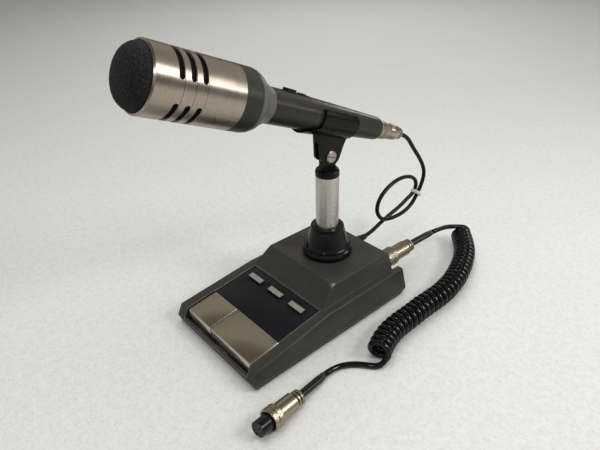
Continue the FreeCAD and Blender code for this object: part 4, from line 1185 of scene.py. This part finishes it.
def make_nylon_look():
    """Milky nylon with fine teeth across it."""
    look = Finish("nylon", (0.72, 0.71, 0.66), Subsurface_Weight=0.35, Subsurface_Scale=0.001,
                  Coat_Weight=0.1)
    cloud = look.noise(500, 4)
    look.colour(look.mixed(look.span(cloud, 0.3, 0.7), (0.66, 0.65, 0.58), (0.80, 0.79, 0.75)))
    look.rough(look.span(cloud, 0.3, 0.7, 0.28, 0.42))
    look.bump(look.node("ShaderNodeTexWave", {"Vector": look.place, "Scale": 1300.0},
                        bands_direction="X").outputs["Fac"], 0.00006, 0.35)
    look.onto(*tie_parts)


make_cord_looks()
make_foam_look()
make_button_look()
make_board_look()
make_nylon_look()

for node in nodes.values():
    sharpen(node, 28)
for name, width in (("ptt_bar", 0.45), ("lock_bar", 0.45), ("base_case", 0.40),
                    ("control_panel", 0.2)):
    soften_edges(nodes[name], width * MM)


# ---------------------------------------------------------------- stage and light

def make_stage():
    """Pale paper to the horizon, which other surfaces see as a darker one."""
    corners = [(-20, -20, 0), (20, -20, 0), (20, 20, 0), (-20, 20, 0)]
    floor = add_mesh("floor", corners, [(0, 1, 2, 3)])
    look = Finish("pale_paper", (0.80, 0.80, 0.77), Roughness=0.85)
    cloud = look.noise(7, 6)
    weave = look.noise(1.0, 3, look.grid((330, 480, 330)), 0.7)
    tuft = look.noise(150, 4, None, 0.65)
    tone = look.mixed(look.span(cloud, 0.3, 0.7), (0.76, 0.765, 0.735), (0.82, 0.82, 0.79))
    tone = look.mixed(look.span(tuft, 0.35, 0.65, 0.0, 0.75), tone, (0.62, 0.62, 0.58))
    look.colour(look.mixed(look.span(weave, 0.3, 0.7), tone, (0.84, 0.84, 0.81)))
    look.bump(weave, 0.0005, 0.6)
    dim = look.tree.nodes.new("ShaderNodeBsdfDiffuse")
    dim.inputs[0].default_value = (0.50, 0.49, 0.465, 1)
    ray = look.node("ShaderNodeLightPath").outputs
    either = look.node("ShaderNodeMixShader", {
        0: look.maths("MAXIMUM", ray["Is Glossy Ray"], ray["Is Diffuse Ray"]),
        1: look.shader.outputs[0], 2: dim.outputs[0]})
    look.tree.links.new(either.outputs[0], look.tree.nodes["Material Output"].inputs[0])
    look.onto(floor)
    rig.stage(floor)


def lamp(name, spot, aim, width, height, power, tint=(1, 1, 1), along=None, mirrored=True,
         spread=True):
    """An area light. along is the direction of its width.

    A light that isn't mirrored shows in no reflection, and one without spread shows only there.
    """
    data = bpy.data.lights.new(name, "AREA")
    data.shape = "RECTANGLE"
    data.size, data.size_y = width, height
    data.energy = power
    data.color = tint
    thing = bpy.data.objects.new(name, data)
    away = (Vector(spot) - Vector(aim)).normalized()
    if along:
        side = (Vector(along) - away * away.dot(Vector(along))).normalized()
        turn = Matrix((side, away.cross(side), away)).transposed()
    else:
        turn = away.to_track_quat("Z", "Y").to_matrix()
    thing.matrix_world = Matrix.Translation(spot) @ turn.to_4x4()
    thing.visible_camera = False
    thing.visible_glossy = mirrored
    thing.visible_diffuse = spread
    scene.collection.objects.link(thing)


def make_room():
    """Even light for the pale surroundings, and a dimmer room for polished metal to mirror."""
    world = scene.world or bpy.data.worlds.new("room")
    scene.world = world
    world.use_nodes = True
    tree = world.node_tree
    even = tree.nodes["Background"]
    even.inputs[0].default_value = (0.80, 0.80, 0.78, 1)
    even.inputs[1].default_value = 0.30
    place = tree.nodes.new("ShaderNodeTexCoord")
    split = tree.nodes.new("ShaderNodeSeparateXYZ")
    ramp = tree.nodes.new("ShaderNodeValToRGB")
    mirrored = tree.nodes.new("ShaderNodeBackground")
    path = tree.nodes.new("ShaderNodeLightPath")
    either = tree.nodes.new("ShaderNodeMixShader")
    tree.links.new(place.outputs["Generated"], split.inputs[0])
    tree.links.new(split.outputs["Z"], ramp.inputs[0])
    tree.links.new(ramp.outputs[0], mirrored.inputs[0])
    tree.links.new(path.outputs["Is Glossy Ray"], either.inputs[0])
    tree.links.new(even.outputs[0], either.inputs[1])
    tree.links.new(mirrored.outputs[0], either.inputs[2])
    tree.links.new(either.outputs[0], tree.nodes["World Output"].inputs[0])
    steps = ramp.color_ramp.elements
    steps[0].position, steps[0].color = 0.0, (0.07, 0.062, 0.055, 1)
    steps[1].position, steps[1].color = 1.0, (0.11, 0.095, 0.08, 1)
    for position, colour in ((0.14, (0.12, 0.11, 0.10, 1)), (0.38, (0.38, 0.36, 0.33, 1)),
                             (0.58, (0.36, 0.34, 0.31, 1)), (0.74, (0.15, 0.135, 0.12, 1))):
        step = steps.new(position)
        step.color = colour


def make_light():
    scene.view_settings.view_transform = "Standard"
    make_room()
    lamp("key", (0.75, 0.42, 0.80), (0, 0.02, 0.05), 0.30, 0.20, 3.6, (1.0, 0.99, 0.96))
    lamp("ceiling", (-0.02, -0.14, 1.1), (-0.02, -0.14, 0), 0.9, 0.9, 5.8, mirrored=False)
    lamp("far", (-0.95, 1.10, 1.3), (-0.95, 1.10, 0), 1.0, 1.0, 8.4, mirrored=False)
    lamp("strip", (0.737, 0.524, 0.544), (0, -0.09, 0.242), 1.0, 0.09, 1.5,
         (1.0, 0.99, 0.97), along=MIC_AXIS)
    lamp("front", (0.41, -0.70, 0.92), (0, 0, 0.1), 0.12, 0.12, 0.8)
    lamp("back", (-0.45, 1.25, 0.38), (0.1, 0.12, 0.02), 0.16, 0.16, 0.5, spread=False)


make_stage()
make_light()

with open("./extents.json", "w") as out:
    json.dump({"cad": [list(corner) for corner in cad_box],
               "visual": [list(corner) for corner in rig.bounds()]}, out)
